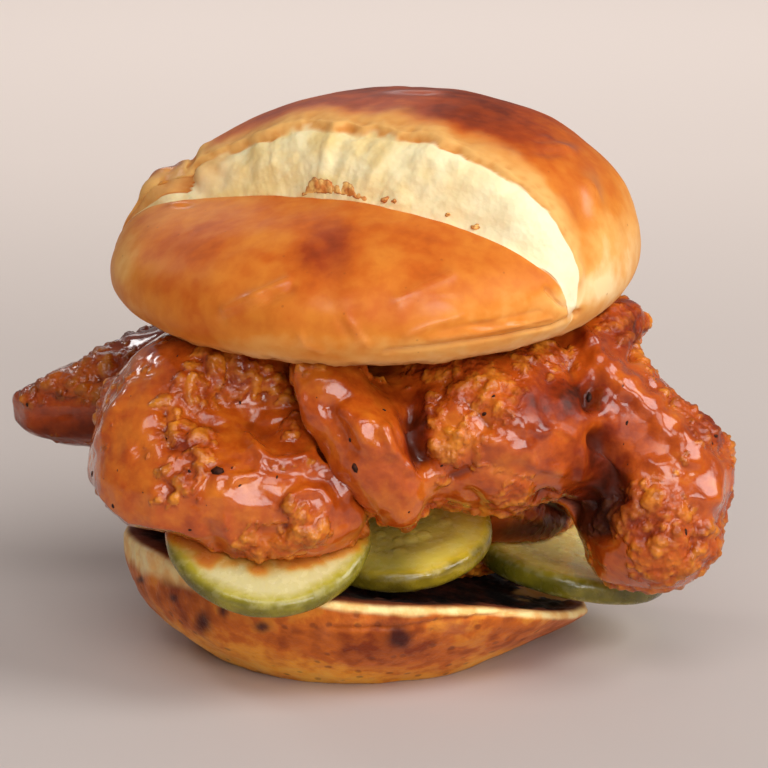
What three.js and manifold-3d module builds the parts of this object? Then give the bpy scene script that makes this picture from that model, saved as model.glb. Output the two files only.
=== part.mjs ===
// A fried chicken burger on a split brioche bun: a bun heel cut on the slant, three pickle slices,
// three sauced pieces of fried chicken and a bun crown that has burst open along its top.
// Millimetres, +Z up, +X to the right of the front, +Y to the back.
// The origin is the middle of the heel's flat underside.
import * as THREE from "three";
import { mergeVertices } from "three/addons/utils/BufferGeometryUtils.js";
import Module from "manifold-3d";

const wasm = await Module();
wasm.setup();
const { Manifold, Mesh } = wasm;

// Driving dimensions.
const clearance = 0.3; // left between pieces that touch
const heel = {
  baseRadius: 32.5, // flat underside
  rimRadius: 49.7, // cut face, to its outer edge
  rimShift: 0.8, // the rim's centre lies this far to the right
  height: 15.4, // cut face above the table, in the middle
  slantRight: 0.165, // the cut face drops this much for each millimetre to the right
  slantBack: 0.13, // and this much for each millimetre to the back
  frontCurl: 2.6, // the rim curls up in front, right of the middle
  sideRounding: [1.25, 2.3], // at the right and at the left: 1 is a cone, 3 bulges low down
  edgeRounding: 1.6, // of the edge between crust and cut face
};
const crown = {
  centre: [3.5, 0, 83.5], // middle of the widest level
  radius: 55,
  capHeight: 32.2, // widest level to the top of the rear cap
  cheekHeight: 18.8, // widest level to the crust's lip in front of the split
  depth: 9.9, // widest level down to the cut underside, in the middle
  cutSlant: 0.03, // the underside drops this much more for each millimetre to the right
  cutRadius: 47,
  leanForward: 4, // degrees
  leanLeft: 2.8, // degrees, right side up
};
// The split runs between two ends of the crown. Angles are taken round the line between them,
// from the crown's front (0) over its top (90) to its back (180).
const split = {
  leftEnd: [-51, 10, 0],
  rightEnd: [40, -38, -7.5],
  lipAngle: 71,
  capAngle: 96,
  lipDepth: 2.6,
  capDepth: 3,
};
// Each slice's tips are its slopes down to the front and to the right, in degrees; its sags are how
// far its edge hangs below its middle, along X and along Y.
const slices = [
  { name: "pickle_left", at: [-17.8, -37, 33.8], radius: 20.4, thick: 4, tips: [27, 0], sags: [0.6, 3] },
  { name: "pickle_middle", at: [9.5, -20.5, 29], radius: 18.8, thick: 4.8, tips: [18, -5], sags: [1, 0] },
  { name: "pickle_right", at: [45.5, -1, 16.9], radius: 20.5, thick: 5, tips: [2, 10], sags: [0.6, 0] },
];
const chickenCell = 5; // grid step of the chicken's surface

// Numbers and noise.
const mix = (a, b, t) => a + (b - a) * t;
const clamp = (x, low = 0, high = 1) => Math.min(high, Math.max(low, x));
const smooth = (low, high, x) => {
  const t = clamp((x - low) / (high - low));
  return t * t * (3 - 2 * t);
};
const radians = THREE.MathUtils.degToRad;

// A repeatable value from -1 to 1 for each point of a lattice.
function latticeValue(ix, iy, iz, seed) {
  let h = (ix * 374761393 + iy * 668265263 + iz * 2147483647 + seed * 974634777) | 0;
  h = Math.imul(h ^ (h >>> 13), 1274126177);
  h ^= h >>> 16;
  return ((h >>> 0) / 4294967295) * 2 - 1;
}

// Smooth noise from -1 to 1, with bumps about one unit across.
function noise(x, y, z, seed = 0) {
  const [ix, iy, iz] = [Math.floor(x), Math.floor(y), Math.floor(z)];
  const [u, v, w] = [x - ix, y - iy, z - iz].map((t) => t * t * (3 - 2 * t));
  let sum = 0;
  for (let k = 0; k < 8; k++) {
    const [dx, dy, dz] = [k & 1, (k >> 1) & 1, k >> 2];
    const weight = (dx ? u : 1 - u) * (dy ? v : 1 - v) * (dz ? w : 1 - w);
    sum += weight * latticeValue(ix + dx, iy + dy, iz + dz, seed);
  }
  return sum;
}

// Signed distances, negative inside.
function ellipsoid(x, y, z, [cx, cy, cz], [rx, ry, rz]) {
  const [px, py, pz] = [x - cx, y - cy, z - cz];
  const near = Math.hypot(px / rx, py / ry, pz / rz);
  const steep = Math.hypot(px / (rx * rx), py / (ry * ry), pz / (rz * rz));
  return steep < 1e-9 ? -Math.min(rx, ry, rz) : (near * (near - 1)) / steep;
}

// A rounded rod between two points, thicker at one end than at the other.
function rod(x, y, z, [ax, ay, az], [bx, by, bz], ra, rb) {
  const [dx, dy, dz] = [bx - ax, by - ay, bz - az];
  const along = (x - ax) * dx + (y - ay) * dy + (z - az) * dz;
  const t = clamp(along / (dx * dx + dy * dy + dz * dz));
  return Math.hypot(x - ax - t * dx, y - ay - t * dy, z - az - t * dz) - mix(ra, rb, t);
}

// The lower of two distances, with a soft fillet of size k where they meet.
function blendMin(a, b, k) {
  const h = Math.max(k - Math.abs(a - b), 0) / k;
  return Math.min(a, b) - (h * h * k) / 4;
}
const blendMax = (a, b, k) => -blendMin(-a, -b, k);

// Height of the heel's cut face at a place.
const cutFace = (x, y) => heel.height - heel.slantRight * x - heel.slantBack * y;

// Solids from triangles, and back.
function solidFrom(positions, triangles) {
  const made = new Manifold(
    new Mesh({
      numProp: 3,
      vertProperties: new Float32Array(positions),
      triVerts: new Uint32Array(triangles),
    }),
  );
  if (made.volume() < 0) throw new Error("a solid is inside out");
  return made;
}

function solidOf(geometry) {
  const bare = geometry.clone();
  bare.deleteAttribute("normal");
  bare.deleteAttribute("uv");
  const merged = mergeVertices(bare, 1e-4);
  return solidFrom(merged.attributes.position.array, merged.index.array);
}

const largestBody = (solid) =>
  solid.decompose().reduce((best, body) => (body.volume() > best.volume() ? body : best));

function meshOf(name, solid, colour, roughness) {
  const { numProp, numVert, vertProperties, triVerts } = largestBody(solid).getMesh();
  const positions = new Float32Array(numVert * 3);
  for (let i = 0; i < numVert; i++) {
    positions.set(vertProperties.subarray(i * numProp, i * numProp + 3), i * 3);
  }
  const geometry = new THREE.BufferGeometry()
    .setAttribute("position", new THREE.BufferAttribute(positions, 3))
    .setIndex(new THREE.BufferAttribute(triVerts, 1));
  geometry.computeVertexNormals();
  const mesh = new THREE.Mesh(
    geometry,
    new THREE.MeshStandardMaterial({ color: colour, roughness, metalness: 0 }),
  );
  mesh.name = name;
  return mesh;
}

// A closed solid from rings of points, one after another between two end points.
function ringSolid(start, rings, end) {
  const sides = rings[0].length;
  const last = 1 + rings.length * sides;
  const triangles = [];
  for (let i = 0; i < sides; i++) {
    const j = (i + 1) % sides;
    triangles.push(0, 1 + j, 1 + i);
    for (let first = 1; first + sides < last; first += sides) {
      const next = first + sides;
      triangles.push(first + i, first + j, next + j, first + i, next + j, next + i);
    }
    triangles.push(last - sides + i, last - sides + j, last);
  }
  return solidFrom([start, ...rings.flat(), end].flat(), triangles);
}

// The zero level of a field as a closed mesh of about equal faces: one vertex in each grid cell
// that the surface crosses, and a square across each grid edge that it crosses.
function skinOf(field, low, high, cell) {
  const count = low.map((start, axis) => Math.ceil((high[axis] - start) / cell) + 1);
  const [nx, ny, nz] = count;
  const at = (i, j, k) => (k * ny + j) * nx + i;
  const place = (i, j, k) => [low[0] + i * cell, low[1] + j * cell, low[2] + k * cell];
  const value = new Float64Array(nx * ny * nz);
  for (let k = 0; k < nz; k++) {
    for (let j = 0; j < ny; j++) {
      for (let i = 0; i < nx; i++) {
        const edge = i === 0 || j === 0 || k === 0 || i === nx - 1 || j === ny - 1 || k === nz - 1;
        value[at(i, j, k)] = edge ? cell : field(...place(i, j, k));
      }
    }
  }
  // Where only two opposite corners of a square are inside, a third is filled, so that the skin never
  // touches itself along an edge.
  const step = [1, nx, nx * ny];
  for (let changed = true; changed; ) {
    changed = false;
    for (let axis = 0; axis < 3; axis++) {
      const [p, q] = [step[(axis + 1) % 3], step[(axis + 2) % 3]];
      for (let c = 0; c + p + q < value.length; c++) {
        const inside = [c, c + p, c + p + q, c + q].map((n) => value[n] < 0);
        if (inside[0] === inside[2] && inside[1] === inside[3] && inside[0] !== inside[1]) {
          value[inside[0] ? c + p : c] = -1e-3 * cell;
          changed = true;
        }
      }
    }
  }
  const vertexOf = new Map();
  const positions = [];
  for (let k = 0; k < nz - 1; k++) {
    for (let j = 0; j < ny - 1; j++) {
      for (let i = 0; i < nx - 1; i++) {
        const sum = [0, 0, 0];
        let crossings = 0;
        for (let corner = 0; corner < 8; corner++) {
          const from = [i + (corner & 1), j + ((corner >> 1) & 1), k + (corner >> 2)];
          for (let axis = 0; axis < 3; axis++) {
            if ((corner >> axis) & 1) continue;
            const a = value[at(...from)];
            const b = value[at(...from) + step[axis]];
            if (a < 0 === b < 0) continue;
            const point = place(...from);
            point[axis] += (cell * a) / (a - b);
            point.forEach((x, n) => (sum[n] += x));
            crossings++;
          }
        }
        if (!crossings) continue;
        vertexOf.set(at(i, j, k), positions.length / 3);
        positions.push(...sum.map((x) => x / crossings));
      }
    }
  }
  const apart = (a, b) =>
    Math.hypot(...[0, 1, 2].map((n) => positions[a * 3 + n] - positions[b * 3 + n]));
  const triangles = [];
  for (let axis = 0; axis < 3; axis++) {
    const [p, q] = [step[(axis + 1) % 3], step[(axis + 2) % 3]];
    for (let c = 0; c + step[axis] < value.length; c++) {
      const starts = value[c] < 0;
      if (starts === value[c + step[axis]] < 0) continue;
      const ring = [c - p - q, c - q, c, c - p].map((n) => vertexOf.get(n));
      if (!starts) ring.reverse();
      const [a, b, d, e] = ring;
      if (apart(a, d) < apart(b, e)) triangles.push(a, b, d, a, d, e);
      else triangles.push(a, b, e, b, d, e);
    }
  }
  return solidFrom(positions, triangles);
}

// Heel: a shallow bowl of crust on a flat underside, cut across on the slant.
function makeHeel(grow = 0) {
  const sides = 60;
  const wallSteps = 8;
  const faceSteps = 4;
  const turns = Array.from({ length: sides }, (_, i) => (i / sides) * 2 * Math.PI);
  const rimHeight = (turn) => {
    const x = heel.rimRadius * Math.cos(turn) + heel.rimShift;
    const y = heel.rimRadius * Math.sin(turn);
    const curl = heel.frontCurl * Math.max(0, Math.cos(turn + 0.95)) ** 4;
    return cutFace(x, y) + curl + 0.6 * noise(2.2 * Math.cos(turn), 2.2 * Math.sin(turn), 9, 5);
  };
  // The wall's radius at a height, in one direction. Soft dents run round it.
  const wall = (height, turn) => {
    const leftward = (1 - Math.cos(turn)) / 2;
    const up = clamp(height / (mix(1, 0.8, leftward) * rimHeight(turn)));
    const flare = 1 - (1 - up) ** mix(...heel.sideRounding, leftward);
    const dent = 0.9 * noise(3 * Math.cos(turn) + 5, 3 * Math.sin(turn), height / 11, 4) * up;
    return mix(heel.baseRadius, heel.rimRadius, flare) + dent + grow;
  };
  const at = (radius, turn, z, shift = 0) => [radius * Math.cos(turn) + shift, radius * Math.sin(turn), z];
  const underside = turns.map((turn) => at(heel.baseRadius * 0.6, turn, -grow));
  const side = Array.from({ length: wallSteps + 1 }, (_, n) =>
    turns.map((turn) => {
      const height = (rimHeight(turn) - heel.edgeRounding) * (n / wallSteps) ** 1.25;
      const shift = (heel.rimShift * n) / wallSteps;
      return at(wall(height, turn), turn, n ? height : -grow, shift);
    }),
  );
  const face = Array.from({ length: faceSteps }, (_, n) =>
    turns.map((turn) => {
      const rim = rimHeight(turn);
      const outer = wall(rim, turn) - heel.edgeRounding;
      const point = at(outer * (1 - n / faceSteps), turn, grow, heel.rimShift);
      const crumb = 0.5 * noise(point[0] / 9, point[1] / 9, 3, 6) * smooth(0, 2, n);
      point[2] += mix(rim, cutFace(point[0], point[1]), n / faceSteps) + crumb;
      return point;
    }),
  );
  const top = [heel.rimShift, 0, cutFace(heel.rimShift, 0) + grow];
  return ringSolid([0, 0, -grow], [underside, ...side, ...face], top);
}

// Pickle slice: a round-edged disc, a little oval, that sags over what it lies on.
function makeSlice({ at, radius, thick, tips, sags }, grow = 0) {
  const sides = 32;
  const edgeSteps = 2;
  const edge = thick * 0.34;
  const half = thick / 2 + grow;
  const outline = [[0, -half], [radius * 0.5, -half]];
  for (let n = 0; n <= edgeSteps * 2; n++) {
    const turn = -Math.PI / 2 + (Math.PI * n) / (edgeSteps * 2);
    const side = Math.sign(Math.sin(turn)) * (half - edge);
    outline.push([radius + grow - edge + edge * Math.cos(turn), side + edge * Math.sin(turn)]);
  }
  outline.push([radius * 0.5, half], [0, half]);
  const geometry = new THREE.LatheGeometry(outline.map(([r, z]) => new THREE.Vector2(r, z)), sides);
  geometry.rotateX(Math.PI / 2); // the lathe turns round Y
  const position = geometry.attributes.position;
  for (let i = 0; i < position.count; i++) {
    const [x, y, z] = [position.getX(i), position.getY(i), position.getZ(i)];
    const outward = Math.hypot(x, y) / radius;
    const oval = 1 + 0.025 * Math.cos(2 * Math.atan2(y, x) + at[0]) * outward;
    const sag = (sags[0] * x * x + sags[1] * y * y) / (radius * radius);
    position.setXYZ(i, x * oval, y * oval, z - sag);
  }
  geometry.rotateX(radians(tips[0]));
  geometry.rotateY(radians(tips[1]));
  geometry.translate(...at);
  return solidOf(geometry);
}

// Crown. Its own frame has the origin in the middle of its widest level.
const crownMatrix = new THREE.Matrix4()
  .makeTranslation(...crown.centre)
  .multiply(new THREE.Matrix4().makeRotationX(radians(crown.leanForward)))
  .multiply(new THREE.Matrix4().makeRotationY(radians(-crown.leanLeft)));
const crownInverse = crownMatrix.clone().invert();

// How high the crown stands over its widest level, by the angle round the split and the angle
// from its left end. A small piece of crust is left low beside the cap's left end.
function crownHeight(angle, along) {
  const cheek = crown.cheekHeight;
  const fromEnd = Math.min(along, 180 - along);
  const open = smooth(0, 10, fromEnd);
  const leftPiece = 1 - smooth(24.5, 31, along);
  const roundedCap = crown.capHeight * mix(0.87, 1, smooth(28, 80, along));
  const cap = mix(roundedCap, cheek + 5, leftPiece);
  const crumbFoot = cheek - split.lipDepth * open;
  const crumbHead = cap - split.capDepth * open;
  const crumb = mix(crumbFoot, crumbHead, smooth(split.lipAngle, split.capAngle, angle) ** 0.8);
  if (angle < split.lipAngle - 1) return cheek;
  if (angle < split.capAngle + 1) return crumb;
  return mix(cap - 0.4 * split.capDepth * open, cap, smooth(split.capAngle, split.capAngle + 30, angle));
}

// Below zero inside the crown, in its own frame.
function crownField(x, y, z, height) {
  const out = Math.hypot(x, y) / crown.radius;
  if (z >= 0) return out ** 2.15 + (z / height) ** 2.15 - 1;
  const down = -z / (crown.depth + crown.cutSlant * x);
  const inward = (1 - crown.cutRadius / crown.radius) * down ** 2.6;
  return Math.max(out + inward - 1, down - 1);
}

function makeCrown(grow = 0) {
  const left = new THREE.Vector3(...split.leftEnd);
  const right = new THREE.Vector3(...split.rightEnd);
  const middle = left.clone().add(right).multiplyScalar(0.5);
  const lengthways = right.clone().sub(left).normalize();
  const frontwards = new THREE.Vector3(lengthways.y, -lengthways.x, 0).normalize();
  const upwards = lengthways.clone().cross(frontwards).negate();
  // The crown's surface in the direction of two angles.
  const surface = (angle, along) => {
    const ray = lengthways.clone().multiplyScalar(-Math.cos(radians(along)));
    ray.addScaledVector(frontwards, Math.sin(radians(along)) * Math.cos(radians(angle)));
    ray.addScaledVector(upwards, Math.sin(radians(along)) * Math.sin(radians(angle)));
    const height = crownHeight(angle, along);
    let [near, far] = [0, crown.radius * 3];
    for (let n = 0; n < 40; n++) {
      const reach = (near + far) / 2;
      const p = middle.clone().addScaledVector(ray, reach);
      if (crownField(p.x, p.y, p.z, height) < 0) near = reach;
      else far = reach;
    }
    const p = middle.clone().addScaledVector(ray, near);
    const dent = 0.7 * noise(p.x / 17, p.y / 17, p.z / 17, 2) * smooth(-crown.depth, 0, p.z);
    const out = p.clone().normalize();
    return p.addScaledVector(out, dent + grow).applyMatrix4(crownMatrix).toArray();
  };
  // Angles lie close together at the crust's edges and about 7 degrees apart elsewhere.
  const spread = (from, to, steps) =>
    Array.from({ length: steps }, (_, n) => mix(from, to, n / steps));
  const angles = [
    ...spread(0, split.lipAngle - 2, 9),
    ...spread(split.lipAngle - 2, split.lipAngle, 1),
    ...spread(split.lipAngle, split.capAngle, 5),
    ...spread(split.capAngle, split.capAngle + 2, 1),
    ...spread(split.capAngle + 2, 360, 37),
  ];
  const alongs = [...spread(177, 40, 18), ...spread(40, 21, 5), ...spread(21, 0, 3)];
  const rings = alongs.map((along) => angles.map((angle) => surface(angle, along)));
  return ringSolid(surface(90, 180), rings, surface(90, 0));
}

// Chicken. Each piece is a body of soft lobes with crags on it.
const roundingLoss = 0.4; // of a surface of flat faces against the round one
const crags = (x, y, z, seed) =>
  1.2 * noise(x / 9, y / 9, z / 9, seed) + 0.7 * noise(x / 5, y / 5, z / 5, seed + 1);

function leftPiece(x, y, z) {
  let d = ellipsoid(x, y, z, [-26, -12, 50], [26, 24, 19]); // body
  d = blendMin(d, ellipsoid(x, y, z, [-25.5, -36, 42], [27.8, 15, 12.5]), 3); // sauced front lip
  d = blendMin(d, ellipsoid(x, y, z, [-39.8, -25, 48], [13.3, 20, 17]), 5); // left cheek
  d = blendMin(d, ellipsoid(x, y, z, [-12, -39, 38.5], [14, 11, 10]), 4); // lip's right end
  d = blendMin(d, ellipsoid(x, y, z, [-26, 12, 33], [24, 26, 15]), 10); // back, down on the heel
  d = blendMin(d, ellipsoid(x, y, z, [-31, -20, 63], [12, 14, 9]), 6); // shoulder under the crown
  return d + crags(x, y, z, 20) - roundingLoss;
}

function rightPiece(x, y, z) {
  let d = ellipsoid(x, y, z, [28, -12, 54], [32, 32, 18]); // body
  d = blendMin(d, ellipsoid(x, y, z, [27, -32, 53], [20, 14, 15]), 4); // front wall
  d = blendMin(d, rod(x, y, z, [-7, -38, 66], [3, -42, 53], 7, 8), 3); // drape that hangs in front
  d = blendMin(d, rod(x, y, z, [3, -42, 53], [8.3, -42.5, 44.5], 8, 7), 2);
  d = blendMin(d, rod(x, y, z, [50, -20, 63], [58, -24, 53.5], 7, 7.5), 6); // right shoulder
  d = blendMin(d, rod(x, y, z, [63.2, -26, 43], [61, -31, 33], 13, 12), 6); // right end, folded down
  d = blendMin(d, ellipsoid(x, y, z, [52.5, -26, 34.5], [7.5, 9, 15.5]), 4); // web behind the fold
  d = blendMin(d, rod(x, y, z, [48, -12, 68], [55.5, -7, 69], 7, 5.6), 3); // knob beside the crown
  d = blendMin(d, ellipsoid(x, y, z, [22, 14, 29], [26, 24, 19]), 10); // back, down on the heel
  d = blendMax(d, -rod(x, y, z, [44, -50, 58], [43, -48, 34], 5, 9), 4); // deep fold
  return d + crags(x, y, z, 30) - roundingLoss;
}

function backPiece(x, y, z) {
  let d = rod(x, y, z, [-66.8, 15, 45.5], [-57, 16, 47], 6.5, 9); // tip that sticks out
  d = blendMin(d, rod(x, y, z, [-57, 16, 47], [-26, 20, 54], 9, 16.5), 4);
  d = blendMin(d, rod(x, y, z, [-26, 20, 54], [34, 24, 56], 16.5, 17), 4);
  d = blendMin(d, ellipsoid(x, y, z, [4, 30, 54], [40, 18, 17]), 6);
  return d + crags(x, y, z, 40) - roundingLoss;
}

const chickenLow = [-84, -64, 8];
const chickenHigh = [84, 58, 86];
const chickenSkin = (piece, grow = 0) =>
  skinOf((x, y, z) => piece(x, y, z) - grow, chickenLow, chickenHigh, chickenCell);

// Each piece gives way to those before it: it is cut by their shapes, grown by the clearance.
const cutAway = (solid, rooms) => rooms.reduce((kept, room) => kept.subtract(room), solid);
const heelSolid = makeHeel();
const crownSolid = makeCrown();
const rooms = [makeHeel(clearance)];
const sliceSolids = slices.map((slice) => {
  const solid = cutAway(makeSlice(slice), rooms);
  rooms.push(makeSlice(slice, clearance));
  return solid;
});
rooms.push(makeCrown(clearance));
const [backSolid, leftSolid, rightSolid] = [backPiece, leftPiece, rightPiece].map((piece) => {
  const solid = cutAway(chickenSkin(piece), rooms);
  rooms.push(chickenSkin(piece, clearance));
  return solid;
});

const crustColour = 0xc9782f;
const chickenColour = 0xb4451c;
const pickleColour = 0xa8a03c;

const burger = new THREE.Group();
burger.add(meshOf("bun_heel", heelSolid, crustColour, 0.5));
slices.forEach(({ name }, n) => burger.add(meshOf(name, sliceSolids[n], pickleColour, 0.25)));
burger.add(meshOf("chicken_back", backSolid, chickenColour, 0.3));
burger.add(meshOf("chicken_left", leftSolid, chickenColour, 0.3));
burger.add(meshOf("chicken_right", rightSolid, chickenColour, 0.3));
burger.add(meshOf("bun_crown", crownSolid, crustColour, 0.35));

export default burger;
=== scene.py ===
import itertools
import math

import bpy
import numpy as np
from mathutils import Matrix, Vector
from mathutils.bvhtree import BVHTree


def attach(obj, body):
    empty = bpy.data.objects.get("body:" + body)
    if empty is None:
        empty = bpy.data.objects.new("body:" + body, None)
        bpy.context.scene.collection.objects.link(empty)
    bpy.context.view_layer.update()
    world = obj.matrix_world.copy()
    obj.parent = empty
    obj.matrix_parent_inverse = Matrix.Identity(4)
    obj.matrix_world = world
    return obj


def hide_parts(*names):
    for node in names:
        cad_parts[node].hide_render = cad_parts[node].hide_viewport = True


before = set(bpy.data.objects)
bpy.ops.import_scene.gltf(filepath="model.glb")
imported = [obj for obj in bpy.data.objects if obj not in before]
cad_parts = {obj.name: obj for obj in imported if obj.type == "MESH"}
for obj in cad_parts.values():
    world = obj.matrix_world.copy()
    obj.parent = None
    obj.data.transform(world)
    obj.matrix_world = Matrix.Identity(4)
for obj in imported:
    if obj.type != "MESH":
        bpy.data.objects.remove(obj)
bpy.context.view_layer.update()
scene = bpy.context.scene
mm = 0.001
facetLimit = 2.4  # the most that a spot of sauce or glaze is turned towards a light box, in millimetres

# The camera, and the picture's own frame that the marks below are read in
cameraValues = {
    "target": (5.5, 0, 55),
    "distance": 700,
    "elevation": 14.5,
    "lens": 156.25,
    "sensor": 36,
    "picture": 768,
}
cameraLift = math.radians(cameraValues["elevation"])
viewForward = np.array([0, math.cos(cameraLift), -math.sin(cameraLift)])
viewUp = np.array([0, math.sin(cameraLift), math.cos(cameraLift)])
eye = np.array(cameraValues["target"]) - viewForward * cameraValues["distance"]
focal = cameraValues["lens"] / cameraValues["sensor"] * cameraValues["picture"]
pictureMiddle = cameraValues["picture"] / 2


def pixelOf(points):
    offset = points - eye
    depth = offset @ viewForward
    across, down = focal * offset[:, 0] / depth, focal * (offset @ viewUp) / depth
    return np.stack([pictureMiddle + across, pictureMiddle - down], 1)


def rayThrough(x, y):
    across, down = (x - pictureMiddle) / focal, (y - pictureMiddle) / focal
    ray = viewForward + np.array([1, 0, 0]) * across - viewUp * down
    return Vector(eye * mm), Vector(ray).normalized()


# Numbers, noise and grains
def mix(a, b, t):
    return a + (b - a) * t


def smooth(low, high, x):
    t = np.clip((x - low) / (high - low), 0, 1)
    return t * t * (3 - 2 * t)


def latticeValue(ix, iy, iz, seed):  # a repeatable value from -1 to 1
    low32 = 0xFFFFFFFF
    h = (ix * 374761393 + iy * 668265263 + iz * 2147483647 + seed * 974634777) & low32
    h = ((h ^ (h >> 13)) * 1274126177) & low32
    h = h ^ (h >> 16)
    return h / low32 * 2 - 1


def noise(points, size, seed=0):  # smooth, from -1 to 1, bumps about one size across
    scaled = points / size
    cell = np.floor(scaled).astype(np.int64)
    t = scaled - cell
    t = t * t * (3 - 2 * t)
    total = np.zeros(len(points))
    for dx, dy, dz in itertools.product((0, 1), repeat=3):
        weight = np.abs(1 - dx - t[:, 0]) * np.abs(1 - dy - t[:, 1]) * np.abs(1 - dz - t[:, 2])
        total += weight * latticeValue(cell[:, 0] + dx, cell[:, 1] + dy, cell[:, 2] + dz, seed)
    return total


def fractal(points, size, seed=0, octaves=3):
    return sum(noise(points, size / 2 ** n, seed + 11 * n) / 2 ** n for n in range(octaves))


def grains(points, size, seed, smallest=0.3, largest=0.72):  # round nodules packed side by side, 0 to 1
    scaled = points / size
    cell = np.floor(scaled).astype(np.int64)
    height = np.zeros(len(points))
    for shift in itertools.product((-1, 0, 1), repeat=3):
        near = cell + np.array(shift)
        where = [latticeValue(near[:, 0], near[:, 1], near[:, 2], seed + k) for k in range(4)]
        centre = near + 0.5 + 0.42 * np.stack(where[:3], 1)
        radius = mix(smallest, largest, 0.5 + 0.5 * where[3])
        away = np.linalg.norm(scaled - centre, axis=1) / radius
        height = np.maximum(height, np.sqrt(np.clip(1 - away ** 2, 0, 1)) * radius)
    return height / largest


# Meshes
def readTriples(values, name):
    found = np.empty(len(values) * 3)
    values.foreach_get(name, found)
    return found.reshape(-1, 3)


def readPoints(piece):
    return readTriples(piece.data.vertices, "co") / mm


def readNormals(piece):
    return readTriples(piece.data.vertex_normals, "vector")


def writePoints(piece, points):
    piece.data.vertices.foreach_set("co", (points * mm).ravel())
    piece.data.update()


def writeMasks(piece, **masks):
    for name, values in masks.items():
        attribute = piece.data.attributes.new(name, "FLOAT", "POINT")
        attribute.data.foreach_set("value", np.ascontiguousarray(values, float))


def neighbourMean(piece, values, rounds):
    edges = np.empty(len(piece.data.edges) * 2, np.int64)
    piece.data.edges.foreach_get("vertices", edges)
    a, b = edges.reshape(-1, 2).T
    count = len(piece.data.vertices)
    degree = np.bincount(a, minlength=count) + np.bincount(b, minlength=count)
    columns = values.reshape(count, -1)
    for _ in range(rounds):
        sums = [
            np.bincount(a, column[b], count) + np.bincount(b, column[a], count) for column in columns.T
        ]
        columns = 0.5 * columns + 0.5 * np.stack(sums, 1) / degree[:, None]
    return columns.reshape(values.shape)


def reliefOf(piece, rounds):  # how far each vertex stands proud of its surroundings
    points = readPoints(piece)
    return ((points - neighbourMean(piece, points, rounds)) * readNormals(piece)).sum(1)


def treeOf(*pieces):
    corners, faces = [], []
    for piece in pieces:
        first = len(corners)
        corners.extend(vertex.co[:] for vertex in piece.data.vertices)
        faces.extend([first + n for n in face.vertices] for face in piece.data.polygons)
    return BVHTree.FromPolygons(corners, faces)


def seenFromFront(piece):  # 1 where the camera sees the vertex past the piece's own bulk
    points, normals = readPoints(piece), readNormals(piece)
    toEye = eye - points
    reach = np.linalg.norm(toEye, axis=1)
    facing = (normals * toEye).sum(1) / reach
    tree = treeOf(piece)
    seen = np.zeros(len(points))
    slack, leastFacing = 0.8 * mm, 0.03
    for n in np.flatnonzero(facing > leastFacing):
        ray = Vector(-toEye[n] / reach[n])
        distance = tree.ray_cast(Vector(eye * mm), ray)[3]
        seen[n] = distance is not None and distance > reach[n] * mm - slack
    return neighbourMean(piece, seen, 2) * smooth(leastFacing, 0.2, facing)


def distanceTo(points, tree, reach):  # in millimetres, up to a given reach
    found = [tree.find_nearest(Vector(point), reach * mm)[3] for point in points * mm]
    return np.array([reach * mm if away is None else away for away in found]) / mm


# Marks are read in the photo's pixels. A spot is (x, y, radius across, radius down, strength), a facet
# adds its light box, and a stroke is (line, width, lift in millimetres).
def strokeFalloff(pixels, line, width):
    line = np.array(line, float)
    nearest = np.full(len(pixels), 1e9)
    for start, end in zip(line[:-1], line[1:]):
        step = end - start
        t = np.clip(((pixels - start) @ step) / (step @ step), 0, 1)
        nearest = np.minimum(nearest, np.linalg.norm(pixels - start - t[:, None] * step, axis=1))
    return np.exp(-((nearest / width) ** 2))


def spotFalloff(pixels, x, y, radiusX, radiusY):
    away = ((pixels[:, 0] - x) / radiusX) ** 2 + ((pixels[:, 1] - y) / radiusY) ** 2
    return np.exp(-(away ** 1.5))


def spotSum(pixels, spots):
    return sum((spotFalloff(pixels, *spot[:4]) * spot[4] for spot in spots), np.zeros(len(pixels)))


def strokeSum(pixels, strokes):
    return sum(strokeFalloff(pixels, line, width) * lift for line, width, lift in strokes)


def turnFacets(piece, points, facets, weight):  # flattens spots of sauce so that they mirror a light box
    tree = treeOf(piece)
    pixels = pixelOf(points)
    for x, y, radiusX, radiusY, much, box in facets:
        hit = tree.ray_cast(*rayThrough(x, y))[0]
        if hit is None:
            continue
        middle = np.array(hit) / mm
        toEye = eye - middle
        toLight = np.array(studioValues["boxes"][box]["at"]) / mm - middle
        facing = toEye / np.linalg.norm(toEye) + toLight / np.linalg.norm(toLight)
        facing /= np.linalg.norm(facing)
        proud = np.clip((points - middle) @ facing, -facetLimit, facetLimit)
        share = spotFalloff(pixels, x, y, radiusX, radiusY) * weight * much
        points = points - facing * (proud * share)[:, None]
    return points


def selectOnly(piece):
    bpy.ops.object.select_all(action="DESELECT")
    piece.select_set(True)
    bpy.context.view_layer.objects.active = piece


def recalculateNormals(piece):
    selectOnly(piece)
    bpy.ops.object.mode_set(mode="EDIT")
    bpy.ops.mesh.select_all(action="SELECT")
    bpy.ops.mesh.normals_make_consistent(inside=False)
    bpy.ops.object.mode_set(mode="OBJECT")
    bpy.ops.object.shade_smooth()


def startBall(name, segments, rings):  # a ball whose two angles are then bent into the piece
    bpy.ops.object.select_all(action="DESELECT")
    bpy.ops.mesh.primitive_uv_sphere_add(
        segments=segments, ring_count=rings, radius=1, location=(0, 0, 0),
    )
    piece = bpy.context.active_object
    piece.name = name
    points = readPoints(piece) * mm
    down = np.degrees(np.arccos(np.clip(points[:, 2], -1, 1)))
    turn = np.degrees(np.arctan2(points[:, 1], points[:, 0])) % 360
    return piece, down, turn


def settle(piece, slotName, material, *nodes):
    piece.data.materials.clear()
    piece.data.materials.append(material)
    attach(piece, "root")
    if nodes:
        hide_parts(*nodes)


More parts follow.
